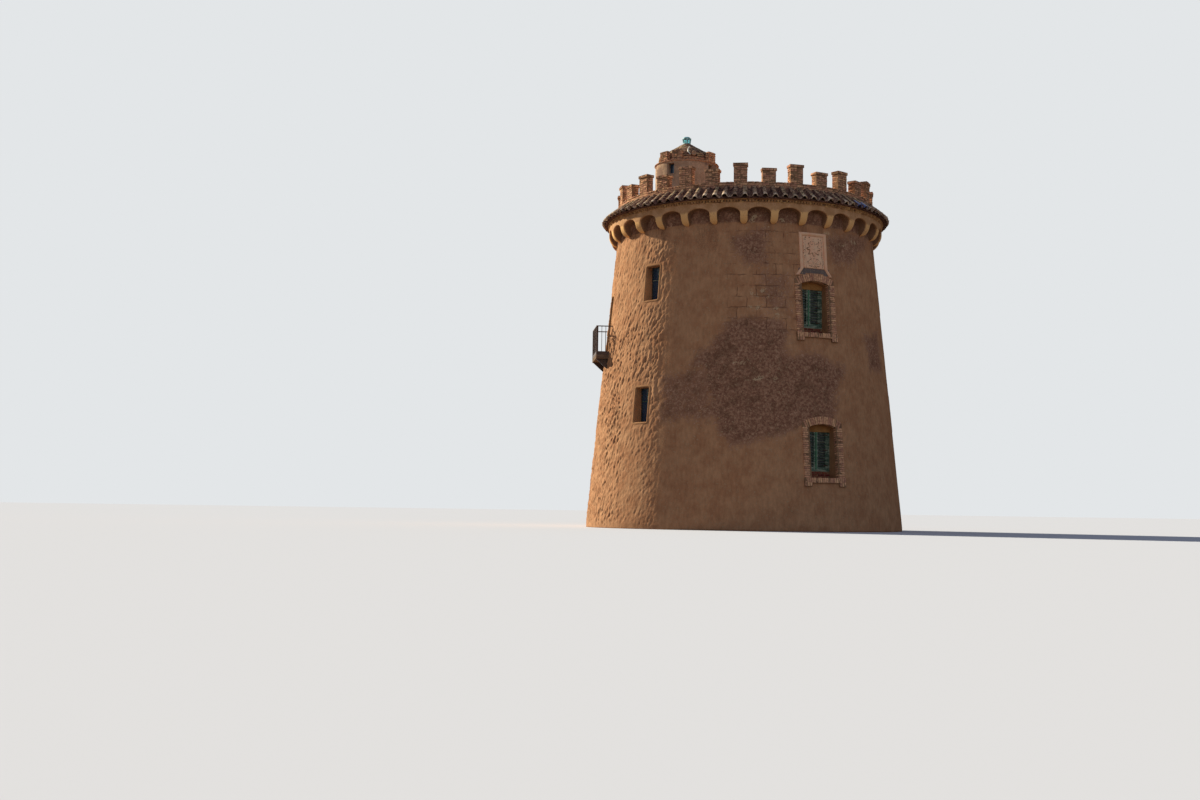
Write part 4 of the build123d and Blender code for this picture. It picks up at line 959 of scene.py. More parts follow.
rows = stations((PANEL_FOOT, PANEL_TOP), CARVING_STEP)
columns = stations((-PANEL_HALF, PANEL_HALF), CARVING_STEP)
across, up = np.meshgrid(columns, rows)
flat_place = np.stack((across, np.zeros_like(across), up), axis=-1)
worn = np.clip(0.75 + 0.6 * uneven(flat_place, 0.3, 401), 0.15, 1)
carving = petals(across, up, 9.15, 0.27, 8, 0.034)
shell = np.clip((0.2 - np.hypot(across / 1.3, (up - 8.68) / 0.75)) / 0.02, 0, 1)
ribs = 0.5 + 0.5 * np.cos(11 * np.arctan2(across, up - 8.6))
carving = carving + 0.03 * shell * (0.3 + 0.7 * ribs)
pillars = np.clip((0.035 - np.abs(np.abs(across) - 0.34)) / 0.008, 0, 1) * 0.016
rim = np.minimum(PANEL_HALF - np.abs(across), np.minimum(up - PANEL_FOOT, PANEL_TOP - up))
rim = np.clip(rim / 0.01, 0, 1)
pits = np.clip(uneven(flat_place, 0.07, 402) * 3 - 1.1, 0, 1)
steep = np.hypot(*np.gradient(carving + pillars, CARVING_STEP))
# Painted shade along the steep sides of the carving; with the pits it darkens the stone.
undercut_shade = worn * np.clip(steep * 1.2 - 0.15, 0, 1)
proud = PANEL_PROUD - 0.012 + worn * (carving + pillars) + 0.004 * uneven(flat_place, 0.1, 403)
proud = proud * rim - 0.01 * pits * rim
slab = on_face(WINDOW_AZIMUTHS[0], across, up, np.where(rim > 0.02, proud, -0.05))
put("carved_stone_slab", [(slab, [grid_faces(len(rows), len(columns))], stone.material, 0.5)],
    ("panel_slab",), smooth=True, closed=False,
    fields={"pit_shade": np.maximum(pits, undercut_shade).ravel()})


def strip_line(out):
    """Line up one side of the slab, over it and down the other, a distance out from its edge.
    Below the slab it flares."""
    right = np.array([(PANEL_HALF + out + PANEL_FLARE, FLARE_FOOT),
                      (PANEL_HALF + out, PANEL_FOOT), (PANEL_HALF + out, PANEL_TOP + out)])
    return np.concatenate((right * (-1, 1), right[::-1]))


# The strips' section, as the share of their width and how far it stands proud of the wall.
MOULDING = ((0.0, -0.06), (0.0, 0.03), (0.1, 0.045), (0.22, 0.048), (0.3, 0.062), (0.5, 0.07),
            (0.72, 0.068), (0.86, 0.055), (0.95, 0.045), (1.0, 0.03), (1.0, -0.06))
legs = np.arange(5 * 8 + 1) / 8
inside, outside = (np.stack([np.interp(legs, range(6), line[:, axis]) for axis in (0, 1)], axis=-1)
                   for line in (strip_line(0.0), strip_line(PANEL_BORDER)))
share, lift = (np.array(column)[:, None] for column in zip(*MOULDING))
across = inside[None, :, 0] * (1 - share) + outside[None, :, 0] * share
up = inside[None, :, 1] * (1 - share) + outside[None, :, 1] * share
lift = lift + 0.004 * uneven(np.stack((across, 0 * across, up), axis=-1), 0.12, 411) * (lift > 0)
strip = on_face(WINDOW_AZIMUTHS[0], across, up, lift)
put("panel_moulded_strips", [(strip, [grid_faces(*strip.shape[:2])[:, ::-1]], stone.material, 0.5)],
    ("panel_border",), smooth=True, closed=False,
    fields={"pit_shade": np.zeros(strip.shape[0] * strip.shape[1])})

# Corbel arcade
# Thirty tongue-shaped corbels carry small three-centred arches under a plain fascia, all run
# in ochre plaster over brick. Their bellies carry a painted highlight, and the arches painted
# shade.
ARCHES = 30
ARCADE_PROJECTION = 0.32
ARCADE_RADIUS = HEAD_RADIUS + ARCADE_PROJECTION
ARCADE_TOP = 10.534
ARCH_SPRING, ARCH_RISE = 10.2, 0.2
CORBEL_HALF, CORBEL_BELLY, CORBEL_TIP = 0.12, 0.39, 0.09
HALF_PITCH = np.pi / ARCHES * ARCADE_RADIUS
BAY_HALF = HALF_PITCH - CORBEL_HALF
ARRIS = 0.011

# Ochre lime plaster, with a painted highlight, yellower, on the corbels' bellies and painted
# shade with soot, brown, under the arches.
ochre_plaster = mineral("ochre_lime_plaster", "#DAAB80", "#C49468", "#B0865C", 0.3, 0.035, 0.004,
                        layers=(("belly_highlight", "#FFCA88", 1.0), ("soot_and_arch_shade", "#80604A", 0.85)))


def arcade_radius(height):
    """Front of the arcade: a quarter ellipse up the corbels, then the upright fascia."""
    below = np.clip((WALL_HEAD + CORBEL_BELLY - height) / CORBEL_BELLY, 0, 1)
    return HEAD_RADIUS + ARCADE_PROJECTION * np.sqrt(1 - below ** 2)


# One bay, from the middle of a corbel over the arch to the next: its edge is the near line,
# and the far line runs down the corbels' middles and along the top of the fascia.
tip = np.radians([0, 8, 20, 35, 52, 70, 90])
foot_across = HALF_PITCH - CORBEL_HALF * np.sin(tip) ** 0.7
foot_height = WALL_HEAD + CORBEL_TIP * (1 - np.cos(tip))
swing = np.radians(stations((180.0, 128.2, 51.8, 0.0), -9.0))
crown_across = BAY_HALF * np.cos(swing)
crown_height = ARCH_SPRING + ARCH_RISE * np.sin(swing)
side_across = np.concatenate((foot_across, np.full(2, BAY_HALF)))
side_height = np.concatenate((foot_height, (ARCH_SPRING - 0.13, ARCH_SPRING - 0.05)))
near_across = np.concatenate((-side_across, crown_across, side_across[::-1]))
near_height = np.concatenate((side_height, crown_height, side_height[::-1]))
ray = np.minimum(HALF_PITCH / np.maximum(np.abs(crown_across), 1e-6),
                 (ARCADE_TOP - ARCH_SPRING) / np.maximum(crown_height - ARCH_SPRING, 1e-6))
crown = slice(len(side_across), -len(side_across))
near = np.stack((near_across, near_height), axis=-1)
far = np.stack((np.sign(near_across) * HALF_PITCH, near_height), axis=-1)
far[crown] = np.stack((crown_across, crown_height - ARCH_SPRING), axis=-1) * ray[:, None]
far[crown, 1] += ARCH_SPRING
gap = np.linalg.norm(far - near, axis=1)[:, None]
toward = (far - near) / np.maximum(gap, 1e-6)
rows = []
for share in (0.0, 0.25, 0.5, 0.75):
    front = np.maximum(arcade_radius(near_height) - ARRIS, HEAD_RADIUS)
    rows.append((near, HEAD_RADIUS - 0.02 + share * (front - HEAD_RADIUS + 0.02)))
for offset, back in ((0.0, 1.0), (0.0, 0.5), (0.3, 0.2), (1.0, 0.0)):
    spot = near + toward * np.minimum(offset * ARRIS, gap)
    rows.append((spot, np.maximum(arcade_radius(spot[:, 1]) - back * ARRIS, HEAD_RADIUS - 0.01)))
for share in (0.35, 0.65, 1.0):
    start = near + toward * np.minimum(ARRIS, gap)
    spot = start + (far - start) * share
    rows.append((spot, arcade_radius(spot[:, 1])))
bay = np.stack([spot for spot, _ in rows])
angle = (np.arange(ARCHES) * 360 / ARCHES)[:, None, None] + np.degrees(bay[..., 0] / ARCADE_RADIUS)
level = np.broadcast_to(bay[..., 1], angle.shape)
arcade = polar(angle, np.stack([out for _, out in rows]), level)
bumpy = 0.006 * uneven(arcade, 0.22, 501) + 0.004 * uneven(arcade, 0.7, 504)
arcade = arcade + (bumpy * (level < ARCADE_TOP - 0.005))[..., None] * polar(angle, 1.0, 0.0)
quads = grid_faces(*bay.shape[:2])
quads = (quads[None] + len(rows) * len(near) * np.arange(ARCHES)[:, None, None]).reshape(-1, 4)
in_arch = np.broadcast_to((np.arange(len(rows)) < 4)[:, None], level.shape)
dripped = np.clip((level - 10.47) / 0.04, 0, 1)
# Painted shade with soot: faces inside the arches laid brown, with soot in patches and along the
# top.
soot_and_arch_shade = 0.95 * in_arch + 0.35 * uneven(arcade, 0.5, 502) + 0.25 * dripped
# Painted highlight: the corbels' bellies, below the fascia and outside the arches, are laid paler
# and yellower.
belly_zone = np.clip((10.27 - level) / 0.1 + 0.5, 0, 1)
washed = ~in_arch * belly_zone + 0.5 * uneven(arcade, 0.4, 503) - 0.05
put("plastered_corbel_arcade", [(arcade, [quads], ochre_plaster.material, 0.5)],
    ("corbel_arcade",), smooth=True, closed=True,
    fields={"soot_and_arch_shade": soot_and_arch_shade.ravel(), "belly_highlight": washed.ravel()})

# Brick course under the tiles
# A thin bed course, headers set apart like teeth, and a course of stretchers over them,
# each a little further out.
TEETH, ROUND_BRICKS = 300, 120
DENTIL_RADIUS = ARCADE_RADIUS + 0.04
DENTIL_TOP = 10.658
# Brick washed over with ochre lime, golden brown, each a little lighter or darker.
golden_brick = mineral("ochre_washed_brick", "#D8A876", "#B48458", "#9C764E", 0.12, 0.02, 0.003,
                       by_piece=0.18)


def lathe(profile, steps=180, first=0.0):
    """Surface of turning: each (radius, height) of the profile carried round the axis."""
    radius, height = (np.array(column)[:, None] for column in zip(*profile))
    angle = first + np.linspace(0, 360, steps, endpoint=False)[None]
    return polar(angle, radius, height), grid_faces(len(profile), steps, closed=True)


def ring_bricks(count, radius, height, deep, tall, joint, seed, chipped=0.04, shift=0.0, keep=1.0):
    """A course of bricks round the axis, with their outer faces on a radius."""
    azimuth = (np.arange(count) + shift) * 360 / count
    azimuth = azimuth[np.random.default_rng(seed + 1).random(count) < keep]
    width = 2 * np.pi * radius / count - joint
    return blocks(polar(azimuth, radius - deep / 2, height), upright_axes(azimuth),
                  (width, deep, tall), 0.006, seed, 0.003, chipped)


core = lathe(((HEAD_RADIUS, ARCADE_TOP), (ARCADE_RADIUS - 0.03, ARCADE_TOP),
              (ARCADE_RADIUS - 0.03, DENTIL_TOP), (HEAD_RADIUS, DENTIL_TOP)))
courses = (
    ring_bricks(ROUND_BRICKS, ARCADE_RADIUS + 0.012, ARCADE_TOP + 0.012, 0.2, 0.03, 0.01, 601,
                shift=0.5),
    ring_bricks(TEETH, DENTIL_RADIUS - 0.005, ARCADE_TOP + 0.058, 0.16, 0.06, 0.034, 603, 0.12,
                keep=0.97),
    ring_bricks(ROUND_BRICKS, DENTIL_RADIUS + 0.004, ARCADE_TOP + 0.107, 0.22, 0.034, 0.01, 605,
                0.1))
course_parts = [(core[0], [core[1]], mortar.material, 0.5), *made_of(golden_brick, *courses)]
put("brick_tooth_course", course_parts, ("dentil_course",))

# Tiled skirt
# Hand-made clay barrel tiles in two courses on a mortar bed: channels laid hollow up and
# covers over their edges. Soot and lichen have dulled them, and a few covers are glazed.
TILE_RIBS = 96
SKIRT_TOP = np.array((HEAD_RADIUS + 0.005, 11.06))
SKIRT_NOSE = np.array((5.0, 10.7))
TILE_COURSES = ((-0.012, 0.36), (0.25, 0.36))
CHANNEL_RADIUS, COVER_RADIUS, TILE_TAPER, TILE_THICK = 0.1, 0.09, 0.014, 0.015
CHANNEL_LIFT, BED_EDGE = 0.06, 4.945
GLAZED_COVERS = (11, 12, 51)

# Fired clay under soot and lichen, from buff to nearly black, with a pale painted highlight on
# the tiles' noses.
tile = mineral("weathered_clay_barrel_tile", "#BC967A", "#54423A", "#937864", 0.08, 0.03, 0.004,
               rough=0.88, by_piece=0.6, layers=(("rim", "#F0D8BA", 1.0),))
# Cobalt glaze, deep blue and smooth enough to shine.
blue_glaze = mineral("cobalt_glazed_tile", "#1C3F92", "#152E6C", "#31538F", 0.1, 0.02, 0.0012,
                     rough=0.25)
slope_length = float(np.hypot(*(SKIRT_NOSE - SKIRT_TOP)))
down_slope = (SKIRT_NOSE - SKIRT_TOP) / slope_length


def barrel(azimuth, start, length, wide, narrow, lift, thick, upward, seed, jitter=1.0):
    """Half-tube tiles: a ring section of outer and inner half circles, its radius tapering
    from wide at the nose to narrow at the tail, laid down the slope from a start distance
    above the nose, each moved, turned and lifted a little at random."""
    chance = np.random.default_rng(seed)
    count = len(azimuth)
    bend = np.radians(np.linspace(0, 180, 9))
    arc = np.stack((np.cos(bend), np.sin(bend)), axis=-1)
    along = np.array([0.0, 0.5, 1.0])
    size = (wide + (narrow - wide) * along) * (1 + 0.04 * jitter * chance.normal(0, 1, (count, 1)))
    ring = np.concatenate((arc * size[..., None, None],
                           arc[::-1] * (size[..., None, None] - thick)), axis=2)
    ring[..., 1] *= upward
    slid = jitter * 0.012 * chance.normal(0, 1, (count, 1))
    down = slope_length - start - length * along + slid
    swing = jitter * np.radians(1.6) * chance.normal(0, 1, (count, 1)) * along * length
    rise = lift + jitter * 0.004 * chance.normal(0, 1, (count, 1)) + 0.02 * along
    sideways = ring[..., 0] + swing[..., None]
    above = ring[..., 1] + rise[..., None]
    distance = SKIRT_TOP[0] + down_slope[0] * down[..., None] - down_slope[1] * above
    level = SKIRT_TOP[1] + down_slope[1] * down[..., None] + down_slope[0] * above
    angle = np.radians(azimuth)[:, None, None]
    points = np.stack((distance * np.sin(angle) + sideways * np.cos(angle),
                       -distance * np.cos(angle) + sideways * np.sin(angle), level), axis=-1)
    loop = 2 * len(bend)
    outer, inner = np.arange(len(bend)), np.arange(loop - 1, len(bend) - 1, -1)
    end = np.stack((outer[:-1], outer[1:], inner[1:], inner[:-1]), axis=-1)
    one = np.concatenate((grid_faces(3, loop, closed=True), end, end + 2 * loop))
    faces = (one + 3 * loop * np.arange(count)[:, None, None]).reshape(-1, 4)
    tone = np.repeat(chance.random(count), 3 * loop)
    # Painted highlight: pale at each tile's nose, fading up the slope, on some tiles more than
    # others.
    rim = np.repeat((1.0, 0.25, 0.0), loop) * chance.uniform(0.2, 1.0, (count, 1))
    return points.reshape(-1, 3), [faces], tone, rim.ravel()


cover_azimuths = (np.arange(TILE_RIBS) + 0.5) * 360 / TILE_RIBS
channel_azimuths = np.arange(TILE_RIBS) * 360 / TILE_RIBS
glazed = np.isin(np.arange(TILE_RIBS), GLAZED_COVERS)
skirt_parts, nose_highlights = [], []
for number, (start, length) in enumerate(TILE_COURSES):
    for azimuths, wide, lift, upward, seed, jitter, finish, highlight_share in (
            (channel_azimuths, CHANNEL_RADIUS, CHANNEL_LIFT, -1.0, 621, 0.5, tile, 0.5),
            (cover_azimuths[~glazed], COVER_RADIUS, 0.0, 1.0, 631, 1.0, tile, 1.0),
            (cover_azimuths[glazed], COVER_RADIUS, 0.0, 1.0, 641, 1.0,
             blue_glaze if number == 0 else tile, 0.0)):
        shape, faces, tone, rim = barrel(
            azimuths, start, length, wide, wide - TILE_TAPER, lift + 0.012 * number, TILE_THICK,
            upward, seed + number, jitter)
        # Channels get a darker tone than covers: painted shade between and under the covers.
        tone_with_channel_shade = 0.3 * tone if upward < 0 else 0.42 + 0.58 * tone
        skirt_parts.append((shape, faces, finish.material, tone_with_channel_shade))
        nose_highlights.append(rim * highlight_share * (1 - 0.6 * number))
bed, bed_faces = lathe((
    (HEAD_RADIUS, DENTIL_TOP - 0.004), (DENTIL_RADIUS + 0.01, DENTIL_TOP - 0.004),
    (BED_EDGE - 0.015, DENTIL_TOP - 0.004), (BED_EDGE, DENTIL_TOP + 0.02),
    (HEAD_RADIUS, SKIRT_TOP[1] - 0.05)))
# The mortar bed takes the tile's finish at a dark tone: painted shade under the tiles.
skirt_parts.append((bed, [bed_faces], tile.material, 0.1))
nose_highlights.append(np.zeros(bed.shape[0] * bed.shape[1]))
put("barrel_tile_skirt", skirt_parts, ("tile_skirt",), closed=False,
    fields={"rim": np.concatenate(nose_highlights)})

# Parapet
# A masonry ring with a plain rendered inside face. Above the tiles three courses of brick
# show outside.
PARAPET_TOP, PARAPET_INSIDE, TERRACE_TOP = 11.24, 4.072, 10.2
dress(mortar.material, "parapet")
band = [ring_bricks(ROUND_BRICKS, HEAD_RADIUS + 0.008, PARAPET_TOP - (n + 0.5) * BRICK_COURSE, 0.1,
                    0.058, 0.012, 701 + n, 0.12, shift=0.5 * n) for n in range(4)]
put("parapet_brick_band", made_of(brick, *band))
shape, quads = lathe(((PARAPET_INSIDE, TERRACE_TOP - 0.01), (PARAPET_INSIDE, PARAPET_TOP + 0.005),
                      (PARAPET_INSIDE + 0.028, PARAPET_TOP + 0.005),
                      (PARAPET_INSIDE + 0.028, TERRACE_TOP - 0.01)), 240)
swell = 0.006 * uneven(shape, 0.4, 705)
shape = shape + swell[..., None] * polar(np.linspace(0, 360, 240, endpoint=False), 1.0, 0.0)
put("parapet_inner_render", [(shape, [quads], reveal.material, 0.5)], smooth=True,
    closed=False)

# Merlons
# Brick blocks one and a half bricks wide, courses of headers and stretchers in turn, tall
# and short by turns, each under one course that stands out as a cap. Some have lost corners.
MERLON_WIDTH, MERLON_DEPTH = 0.44, 0.26
SHORT_HEIGHT, TALL_HEIGHT, CAP_HEIGHT = 0.415, 0.58, 0.09
MERLONS = 30
merlon_azimuths = 4.5 + 360 / MERLONS * np.arange(MERLONS)
dress(mortar.material, "short_merlons", "tall_merlons", "merlon_caps", "embrasure_copings")


def block_courses(azimuths, radius, foot, tall, courses, width, depth, seed, chipped, proud=0.006):
    """Solid brick blocks: in each course either four headers side by side or two pairs of
    stretchers, standing proud of the mortar core."""
    step = tall / courses
    chance = np.random.default_rng(seed + 50)
    across, inward, rise, wide, deep = [], [], [], [], []
    for n in range(courses):
        headers = n % 2 == 0
        spots = [(k / 4 - 0.375, 0.0) for k in range(4)] if headers else [
            (x / 4, y / 4) for x, y in product((-1, 1), repeat=2)]
        for x, y in spots:
            across.append(x * (width + proud))
            inward.append(y * (depth + 2 * proud))
            wide.append(width / (4 if headers else 2) - 0.011)
            deep.append(depth + 2 * proud if headers else depth / 2 + proud - 0.003)
            rise.append(foot + (n + 0.5) * step)
    count = len(azimuths)
    azimuth = np.repeat(azimuths, len(across))
    axes = upright_axes(azimuth)
    centres = polar(azimuth, radius - depth / 2, np.tile(rise, count))
    centres = centres + np.tile(across, count)[:, None] * axes[:, 0]
    centres = centres + (np.tile(inward, count) + chance.normal(0, 0.0035, len(azimuth)))[
        :, None] * axes[:, 1]
    sizes = np.stack((np.tile(wide, count), np.tile(deep, count),
                      np.full(len(azimuth), step - 0.013)), axis=-1)
    return blocks(centres, axes, sizes, 0.008, seed, 0.004, chipped)


merlon_parts = {"short": [], "tall": [], "cap": []}
for name, first, height, courses in (("short", 0, SHORT_HEIGHT, 6), ("tall", 1, TALL_HEIGHT, 8)):
    merlon_parts[name].append(block_courses(
        merlon_azimuths[first::2], HEAD_RADIUS, PARAPET_TOP, height, courses, MERLON_WIDTH,
        MERLON_DEPTH, 720 + first, 0.15))
    merlon_parts["cap"].append(block_courses(
        merlon_azimuths[first::2], HEAD_RADIUS + 0.025, PARAPET_TOP + height, CAP_HEIGHT, 1,
        MERLON_WIDTH + 0.05, MERLON_DEPTH + 0.05, 730 + first, 0.2))
for name, made in merlon_parts.items():
    put(f"{name}_merlon_bricks", made_of(brick, *made))

# Brick-on-flat sills between the merlons.
GAP_SPAN, SILL_RADIUS = 6.28, 4.279
beside_middle = (np.arange(4) - 1.5) * GAP_SPAN / 4
sill_azimuths = (merlon_azimuths[:, None] + 180 / MERLONS + beside_middle).ravel()
gap_sills = blocks(polar(sill_azimuths, SILL_RADIUS, PARAPET_TOP + 0.023),
                   upright_axes(sill_azimuths), (0.111, 0.452, 0.046), 0.007, 741, 0.0035, 0.1)
put("embrasure_sill_bricks", made_of(brick, gap_sills))

# Terrace and floors
# Square clay tiles bedded in lime pave the terrace, and the two floors inside have the same.
PAVING_SIDE = 0.25
# Tiles of two tones with sunk joints, dusty and dull.
paving = mineral("clay_paving", "#B5835F", "#98704F", "#BFA182", 0.3, 0.03, 0.002)
tree = paving.tree
laid = add(tree, "ShaderNodeTexBrick", {
    "Vector": paving.place, "Scale": 1.0, "Mortar Size": 0.006, "Brick Width": PAVING_SIDE,
    "Row Height": PAVING_SIDE, "Color1": (1, 1, 1, 1), "Color2": (0.72, 0.72, 0.72, 1),
    "Mortar": (0.5, 0.5, 0.5, 1)}, offset=0.0)
tiled = add(tree, "ShaderNodeMix", {0: 1.0, 6: paving.colour, 7: laid.outputs["Color"]},
            data_type="RGBA", blend_type="MULTIPLY").outputs[2]
tree.links.new(tiled, paving.shader.inputs["Base Color"])
sunk = add(tree, "ShaderNodeMath", {0: laid.outputs["Fac"], 1: -1.5, 2: paving.height},
           operation="MULTIPLY_ADD").outputs[0]
tree.links.new(sunk, paving.bump.inputs["Height"])
dress(paving.material, "terrace_slab", "ground_floor", "upper_floor")

# Turret
# A small rendered drum on the terrace with two slits, a thin brick cornice, stumps of merlon
# and a brick ring under a shallow cone of dark tile, with an old iron bracket on its front.
TURRET_MIDDLE = np.array([-2.07, 0.0, 0.0])
TURRET_RADIUS, TURRET_INSIDE, TURRET_EAVE = 1.1, 0.85, 12.81
TURRET_DOOR, TURRET_DOOR_HALF, TURRET_DOOR_TOP = 90.0, 0.35, 12.0
TURRET_SLITS, SLIT_LOW, SLIT_HIGH = (-33.0, 47.0), 12.36, 12.77
CORNICE_TOP, ATTIC_RADIUS, ATTIC_TOP, CONE_RISE = 12.86, 0.96, 13.165, 0.575
LAMP_RADIUS = 0.14
lamp_foot = ATTIC_TOP + CONE_RISE * (1 - LAMP_RADIUS / ATTIC_RADIUS)
# Paler lime render in patches, with a brown undercoat where it has come off.
turret_render = mineral("patched_turret_render", "#D2B090", "#B8967A", "#A0826A", 0.25, 0.05, 0.006,
                        layers=(("undercoat", "#8E7262", 0.8),))
dress(turret_render.material, "turret_wall", "turret_cornice")
angles = stations((0.0, 360.0), 3.0)[:-1]
levels = stations((TERRACE_TOP, TURRET_EAVE), 0.05)
angle, level = np.meshgrid(angles, levels)
place = polar(angle, TURRET_RADIUS, level)
gone = np.clip(uneven(place, 0.5, 801, octaves=4) * 5 - 0.4, 0, 1)
thick = 0.008 + 0.006 * uneven(place, 0.35, 802) + 0.003 * uneven(place, 0.1, 803) - 0.005 * gone
drum = polar(angle, TURRET_RADIUS + thick, level) + TURRET_MIDDLE
quads = grid_faces(len(levels), len(angles), closed=True)
beside = place.reshape(-1, 3)[quads].mean(axis=1)
kept = np.ones(len(quads), bool)
for azimuth, half, low, high in (
        (TURRET_DOOR, TURRET_DOOR_HALF + 0.03, TERRACE_TOP, TURRET_DOOR_TOP + 0.04),
        *((slit, 0.145, SLIT_LOW, SLIT_HIGH) for slit in TURRET_SLITS)):
    along, inward = upright_axes(azimuth)[:2]
    kept &= ~((np.abs(beside @ along) < half) & (beside @ inward < 0)
              & (beside[:, 2] > low) & (beside[:, 2] < high))
put("turret_render_coat", [(drum, [quads[kept]], turret_render.material, 0.5)],
    smooth=True, closed=False, fields={"undercoat": gone.ravel()})


def cone_radius(height):
    """Radius of the cone of the roof at a height."""
    return ATTIC_RADIUS * (1 - (height - ATTIC_TOP) / CONE_RISE)


# The cone is laid in rings of dark tile, thinner towards the lantern.
cone_core = lathe(((ATTIC_RADIUS - 0.012, CORNICE_TOP), (ATTIC_RADIUS - 0.012, ATTIC_TOP - 0.02),
                   (LAMP_RADIUS, lamp_foot - 0.025), (0.02, lamp_foot - 0.02)), 64)
cone_parts = [(cone_core[0] + TURRET_MIDDLE, [cone_core[1]], tile.material, 0.3)]
for course in range(4):
    eave = course > 1
    proud = 0.036 - 0.012 * (course - 2) if eave else 0.004
    cone_parts += made_of(tile if eave else brick, ring_bricks(
        30, ATTIC_RADIUS + proud, CORNICE_TOP + 0.036 + 0.073 * course, 0.12, 0.06, 0.013,
        810 + course, 0.12, shift=0.5 * course), at=TURRET_MIDDLE)
CONE_COURSES = 9
steep = np.arctan2(CONE_RISE, ATTIC_RADIUS)
for course in range(CONE_COURSES):
    level = ATTIC_TOP + (lamp_foot - ATTIC_TOP) * (course + 0.2) / CONE_COURSES
    radius = cone_radius(level) + 0.005
    count = max(9, int(2 * np.pi * radius / 0.17))
    azimuth = (np.arange(count) + 0.37 * course) * 360 / count
    along, inward, upward = upright_axes(azimuth).transpose(1, 0, 2)
    leaning = np.stack((along, np.cos(steep) * inward + np.sin(steep) * upward,
                        np.cos(steep) * upward - np.sin(steep) * inward), axis=1)
    cone_parts += made_of(tile, blocks(
        polar(azimuth, radius - 0.07, level + 0.02), leaning,
        (2 * np.pi * radius / count - 0.012, 0.15, 0.034), 0.006, 820 + course, 0.004, 0.1),
        at=TURRET_MIDDLE)
put("turret_tiled_cone", cone_parts, ("turret_roof",))

cornice = (ring_bricks(44, TURRET_RADIUS + 0.045, CORNICE_TOP - 0.014, 0.16, 0.03, 0.01, 840, 0.15),
           ring_bricks(44, TURRET_RADIUS + 0.022, CORNICE_TOP - 0.042, 0.12, 0.024, 0.01, 842, 0.1,
                       shift=0.5))
put("turret_cornice_bricks", made_of(brick, *cornice, at=TURRET_MIDDLE))
dress(mortar.material, "turret_merlons")
STUMPS = np.array([-50.0, -21.0, 50.0, 130.0, 159.0, -130.0])
stumps = block_courses(STUMPS, 1.12, CORNICE_TOP, 0.345, 5, 0.4, 0.15, 850, 0.25)
put("turret_merlon_bricks", made_of(brick, stumps, at=TURRET_MIDDLE))

# A bent bracket, painted white, and a round plaster boss beside it on the cone's front.
white_paint = painted("old_white_oil_paint", "#E6DFD0", "#D2C8B4", "#8A7B68", 0.5)
bend = np.linspace(0, 1, 15)
spine = np.stack((0.066 - 0.075 * np.sin(np.pi * bend), -1.04 + 0.24 * bend,
                  13.04 + 0.34 * bend), axis=-1)
tangent = np.gradient(spine, axis=0)
tangent = tangent / np.linalg.norm(tangent, axis=1, keepdims=True)
side = np.cross(tangent, (0.0, 1.0, 0.0))
side = side / np.linalg.norm(side, axis=1, keepdims=True)
front = np.cross(side, tangent)
around = np.radians(np.arange(8) * 45.0)[:, None, None]
rod = spine + 0.025 * (np.cos(around) * side + np.sin(around) * front)
rod = np.concatenate((rod.transpose(1, 0, 2), np.broadcast_to(spine[-1:, None], (1, 8, 3))))
rod = np.concatenate((np.broadcast_to(spine[:1, None], (1, 8, 3)), rod))
boss_profile = ((0.0, 0.0), (0.035, 0.0), (0.05, -0.02), (0.07, -0.02), (0.085, 0.0), (0.09, 0.05))
boss_out, boss_in = (np.array(column)[:, None] for column in zip(*boss_profile))
turn_angles = np.radians(np.arange(24) * 15.0)[None]
boss = np.stack((0.19 + boss_out * np.cos(turn_angles), boss_in - 1.03 + 0.0 * turn_angles,
                 13.1 + boss_out * np.sin(turn_angles)), axis=-1)
put("turret_bracket_and_boss", [
    (rod + TURRET_MIDDLE, [grid_faces(17, 8, closed=True)], white_paint.material, 0.5),
    (boss + TURRET_MIDDLE, [grid_faces(6, 24, closed=True)], turret_render.material, 0.5)],
    smooth=True, fields={"undercoat": np.zeros(17 * 8 + 6 * 24)}, closed=False)

# Lantern
# A small eight-sided lamp of sea-green glass in pale painted iron, on a low foot.
LANTERN_SIDES = 8
GLASS_FOOT, GLASS_HEAD, FOOT_RADIUS, HEAD_WIDEST = 0.03, 0.21, 0.126, 0.151
# Cast glass, sea green and cloudy, that light goes through.
cast_glass = mineral("sea_green_cast_glass", "#86EAF2", "#6CD8E2", "#BCF6F4", 0.12, 0.02, 0.001,
                     0.12)
cast_glass.shader.inputs["IOR"].default_value = 1.5
cast_glass.shader.inputs["Transmission Weight"].default_value = 0.85
# Oil paint on iron, chalky pale green on the bars and darker blue-green on cap and foot.
lamp_paint = mineral("weathered_lamp_paint", "#C4ECEA", "#A4DADA", "#7FB4B0", 0.08, 0.01, 0.001,
                     0.55)
lamp_cap_paint = mineral("blue_green_lamp_paint", "#4FA4AA", "#3A8C94", "#7FB0AA", 0.08, 0.01,
                         0.001, 0.55)
dress(cast_glass.material, "lantern_glass")
dress(lamp_cap_paint.material, "lantern_fittings")
glass_low, glass_high = lamp_foot + GLASS_FOOT, lamp_foot + GLASS_HEAD
corner_angles = 90 + 360 / LANTERN_SIDES * np.arange(LANTERN_SIDES)
bar_low = polar(corner_angles, FOOT_RADIUS, glass_low)
bar_high = polar(corner_angles, HEAD_WIDEST, glass_high)
length = np.linalg.norm(bar_high - bar_low, axis=1)
up = (bar_high - bar_low) / length[:, None]
tangent = upright_axes(corner_angles)[:, 0]
bar_axes = np.stack((tangent, np.cross(up, tangent), up), axis=1)
bar_sizes = np.stack((np.full(LANTERN_SIDES, 0.028), np.full(LANTERN_SIDES, 0.02), length), axis=-1)
lamp_bars = blocks((bar_low + bar_high) / 2, bar_axes, bar_sizes, 0.002, 860, 0.0)
lamp_parts = made_of(lamp_paint, lamp_bars, at=TURRET_MIDDLE)
